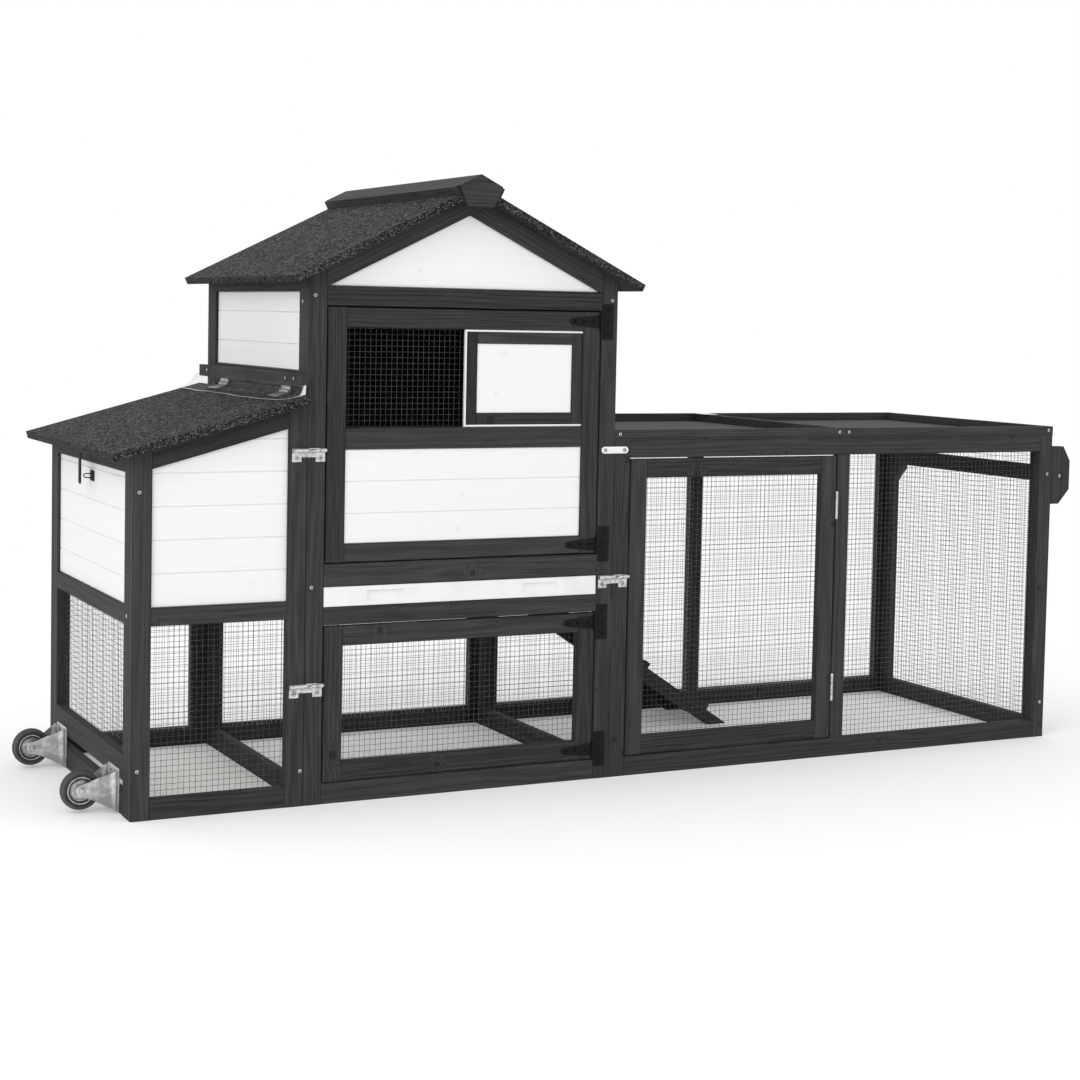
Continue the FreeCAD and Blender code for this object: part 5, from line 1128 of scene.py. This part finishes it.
class BuildWire(bpy.types.Operator):
    """Fills the open bays with round welded wire"""

    bl_idname = "tractor.wire"
    bl_label = "Welded wire"

    def execute(self, context):
        pattern = wire_pattern(finish_of("galvanised wire"))
        for number, node in enumerate(WIRED):
            dress_wire(node, pattern, context.scene.tractor_wire, 40 * number)
        return {"FINISHED"}


class BuildFittings(bpy.types.Operator):
    """Rounds the edges of hinges, bolts, forks and plates"""

    bl_idname = "tractor.fittings"
    bl_label = "Metal fittings"

    def execute(self, context):
        width = context.scene.tractor_fittings.metal_edge
        for node in ZINC:
            dress_hard(node, "zinc steel", width)
        for node in BLACK:
            dress_hard(node, "black steel", width)
        dress_hard("castor_forks", "pressed zinc", width)
        dress_hard("joining_plates", "white plate", width)
        dress_hard("sash_trim", "white plate", width)
        return {"FINISHED"}


class BuildScrews(bpy.types.Operator):
    """Sets a cross-recessed head on every screw's place"""

    bl_idname = "tractor.screws"
    bl_label = "Screws"

    def execute(self, context):
        sizes = context.scene.tractor_fittings
        head = bpy.data.objects.new("screw head", screw_head(sizes.head_radius, sizes.head_height))
        bpy.context.scene.collection.objects.link(head)
        pattern = screw_pattern(finish_of("zinc steel"))
        places = screw_places("frame_screws")
        bright = [place for place in places if not on_black_hinge(place[0])]
        dark = [place for place in places if on_black_hinge(place[0])]
        piece = dress_screws(bright, "frame_screws", pattern, head, "frame_screw_heads", "zinc steel", 7)
        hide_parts("frame_screws")
        dress_screws(dark, "frame_screws", pattern, head, "hinge_screw_heads", "black steel", 8)
        bpy.data.objects.remove(head)
        return {"FINISHED"}


class BuildTray(bpy.types.Operator):
    """Moulds the edges of the litter tray and its front"""

    bl_idname = "tractor.tray"
    bl_label = "Litter tray"

    def execute(self, context):
        dress_hard("tray_front", "white sheet", 0.0012, 3)
        dress_hard("tray_pan", "white sheet", 0.0008)
        return {"FINISHED"}


class BuildWheels(bpy.types.Operator):
    """Turns the tyres and the pressed rims of the castors"""

    bl_idname = "tractor.wheels"
    bl_label = "Wheels"

    def execute(self, context):
        for body in ("front_wheel", "back_wheel"):
            side = body.split("_")[0]
            turned_piece(f"{side}_tyre_turned", tyre_profile(f"{side}_tyre"), body, f"{side}_tyre", "tyre")
            turned_piece(f"{side}_rim_turned", rim_profile(f"{side}_rim"), body, f"{side}_rim", "zinc steel")
        return {"FINISHED"}


class BuildFlap(bpy.types.Operator):
    """Hangs the clear flap over the nest roof's hinges"""

    bl_idname = "tractor.flap"
    bl_label = "Clear flap"

    def execute(self, context):
        mesh = flap_mesh()
        mesh.materials.append(finish_of("clear sheet"))
        piece = bpy.data.objects.new("clear_flap", mesh)
        context.scene.collection.objects.link(piece)
        solid = piece.modifiers.new("thickness", "SOLIDIFY")
        solid.thickness = 0.8 * MM
        solid.offset = 0.0
        plain = as_plain_mesh(piece)
        plain.shade_smooth()
        plain.set_sharp_from_angle(angle=math.radians(50))
        piece = bpy.data.objects.new("clear_flap", plain)
        context.scene.collection.objects.link(piece)
        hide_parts("weather_flap")
        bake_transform(piece)
        return {"FINISHED"}


class BuildStage(bpy.types.Operator):
    """Sets the floor, the lights and the camera"""

    bl_idname = "tractor.stage"
    bl_label = "Stage"

    def execute(self, context):
        settings = context.scene.tractor_stage
        lay_floor()
        light_room(settings)
        set_camera(settings)
        return {"FINISHED"}


# Stage

CAMERA_PLACE = Vector((-2.34524, -4.53260, 1.08322))
CAMERA_YAW = math.radians(26.671)
CAMERA_PITCH = math.radians(-3.285)
CAMERA_ROLL = math.radians(1.151)


def lay_floor():
    mesh = bpy.data.meshes.new("floor")
    reach = 14.0
    mesh.from_pydata([(-reach, -reach, 0.0), (reach, -reach, 0.0), (reach, reach, 0.0), (-reach, reach, 0.0)], [],
                     [(0, 1, 2, 3)])
    floor = bpy.data.objects.new("floor", mesh)
    bpy.context.scene.collection.objects.link(floor)
    sheet = Finish("floor")
    path = sheet.add("ShaderNodeLightPath")
    shown = path["Is Camera Ray"].math("MAXIMUM", path["Is Glossy Ray"]).math("MAXIMUM", path["Is Transmission Ray"])
    far = sheet.vector("LENGTH", sheet.object_place())["Value"].band(1.7, 3.4)
    plain = sheet.surface(Base_Color=grey(0.9), Roughness=1.0, Specular_IOR_Level=0.0)
    lift = sheet.add("ShaderNodeEmission", None, {"Color": grey(1.0), "Strength": 0.16})["Emission"]
    white = sheet.add("ShaderNodeEmission", None, {"Color": grey(1.0), "Strength": 1.0})["Emission"]
    lifted = sheet.add("ShaderNodeMixShader", None, {0: shown, 2: lift})["Shader"]
    near = sheet.add("ShaderNodeAddShader", None, {0: plain, 1: lifted})["Shader"]
    mesh.materials.append(sheet.done(sheet.add("ShaderNodeMixShader", None, {0: shown * far, 1: near, 2: white})["Shader"]))


def light_room(settings):
    world = bpy.data.worlds.new("room")
    bpy.context.scene.world = world
    world.use_nodes = True
    sheet = Graph(world.node_tree)
    sheet.tree.nodes.clear()
    path = sheet.add("ShaderNodeLightPath")
    shown = path["Is Camera Ray"].math("MAXIMUM", path["Is Glossy Ray"]).math("MAXIMUM", path["Is Transmission Ray"])
    lit = sheet.add("ShaderNodeBackground", None, {"Color": grey(1.0), "Strength": settings.world_level})["Background"]
    seen = sheet.add("ShaderNodeBackground", None, {"Color": grey(1.0), "Strength": 1.0})["Background"]
    both = sheet.add("ShaderNodeMixShader", None, {0: shown, 1: lit, 2: seen})["Shader"]
    sheet.add("ShaderNodeOutputWorld", None, {"Surface": both})
    area_light("key", (-4.8, -3.4, 3.4), (0.0, 0.0, 0.5), 3.4, settings.key_power)
    area_light("fill", (4.4, -3.2, 2.4), (0.0, 0.0, 0.5), 3.0, settings.fill_power)


def area_light(name, place, target, size, power):
    data = bpy.data.lights.new(name, "AREA")
    data.shape = "DISK"
    data.size = size
    data.energy = power
    lamp = bpy.data.objects.new(name, data)
    bpy.context.scene.collection.objects.link(lamp)
    lamp.location = place
    lamp.rotation_euler = (Vector(target) - Vector(place)).to_track_quat("-Z", "Y").to_euler()


def set_camera(settings):
    data = bpy.data.cameras.new("camera")
    data.sensor_width = 36.0
    data.lens = settings.focal
    data.shift_y = settings.drop
    data.clip_end = 60.0
    camera = bpy.data.objects.new("camera", data)
    bpy.context.scene.collection.objects.link(camera)
    forward = Vector((math.sin(CAMERA_YAW) * math.cos(CAMERA_PITCH), math.cos(CAMERA_YAW) * math.cos(CAMERA_PITCH),
                      math.sin(CAMERA_PITCH)))
    level = Vector((math.cos(CAMERA_YAW), -math.sin(CAMERA_YAW), 0.0))
    upward = level.cross(forward)
    c, s = math.cos(CAMERA_ROLL), math.sin(CAMERA_ROLL)
    right = c * level + s * upward
    top = -s * level + c * upward
    turn = Matrix((right, top, -forward)).transposed().to_4x4()
    turn.translation = CAMERA_PLACE
    camera.matrix_world = turn
    bpy.context.scene.camera = camera
    view = bpy.context.scene.view_settings
    view.view_transform = "Standard"


class TractorPanel(bpy.types.Panel):
    """Buttons and settings of the chicken tractor"""

    bl_idname = "VIEW3D_PT_tractor"
    bl_label = "Chicken tractor"
    bl_space_type = "VIEW_3D"
    bl_region_type = "UI"
    bl_category = "Tractor"

    def draw(self, context):
        for group in GROUPS:
            settings = getattr(context.scene, group)
            box = self.layout.box()
            for name in settings.__annotations__:
                box.prop(settings, name)
        for operator in OPERATORS:
            self.layout.operator(operator.bl_idname)


GROUPS = {"tractor_colours": TractorColours, "tractor_wire": TractorWire, "tractor_fittings": TractorFittings,
          "tractor_stage": TractorStage}
OPERATORS = (BuildTimber, BuildBoards, BuildRoofs, BuildWire, BuildFittings, BuildScrews, BuildTray, BuildWheels,
             BuildFlap, BuildStage)


def register():
    for cls in (*GROUPS.values(), *OPERATORS, TractorPanel):
        bpy.utils.register_class(cls)
    for name, cls in GROUPS.items():
        setattr(bpy.types.Scene, name, bpy.props.PointerProperty(type=cls))


def unregister():
    for name in GROUPS:
        delattr(bpy.types.Scene, name)
    for cls in (TractorPanel, *OPERATORS[::-1], *list(GROUPS.values())[::-1]):
        bpy.utils.unregister_class(cls)


def main():
    register()
    for operator in OPERATORS:
        group, name = operator.bl_idname.split(".")
        getattr(getattr(bpy.ops, group), name)()


if __name__ == "__main__":
    main()
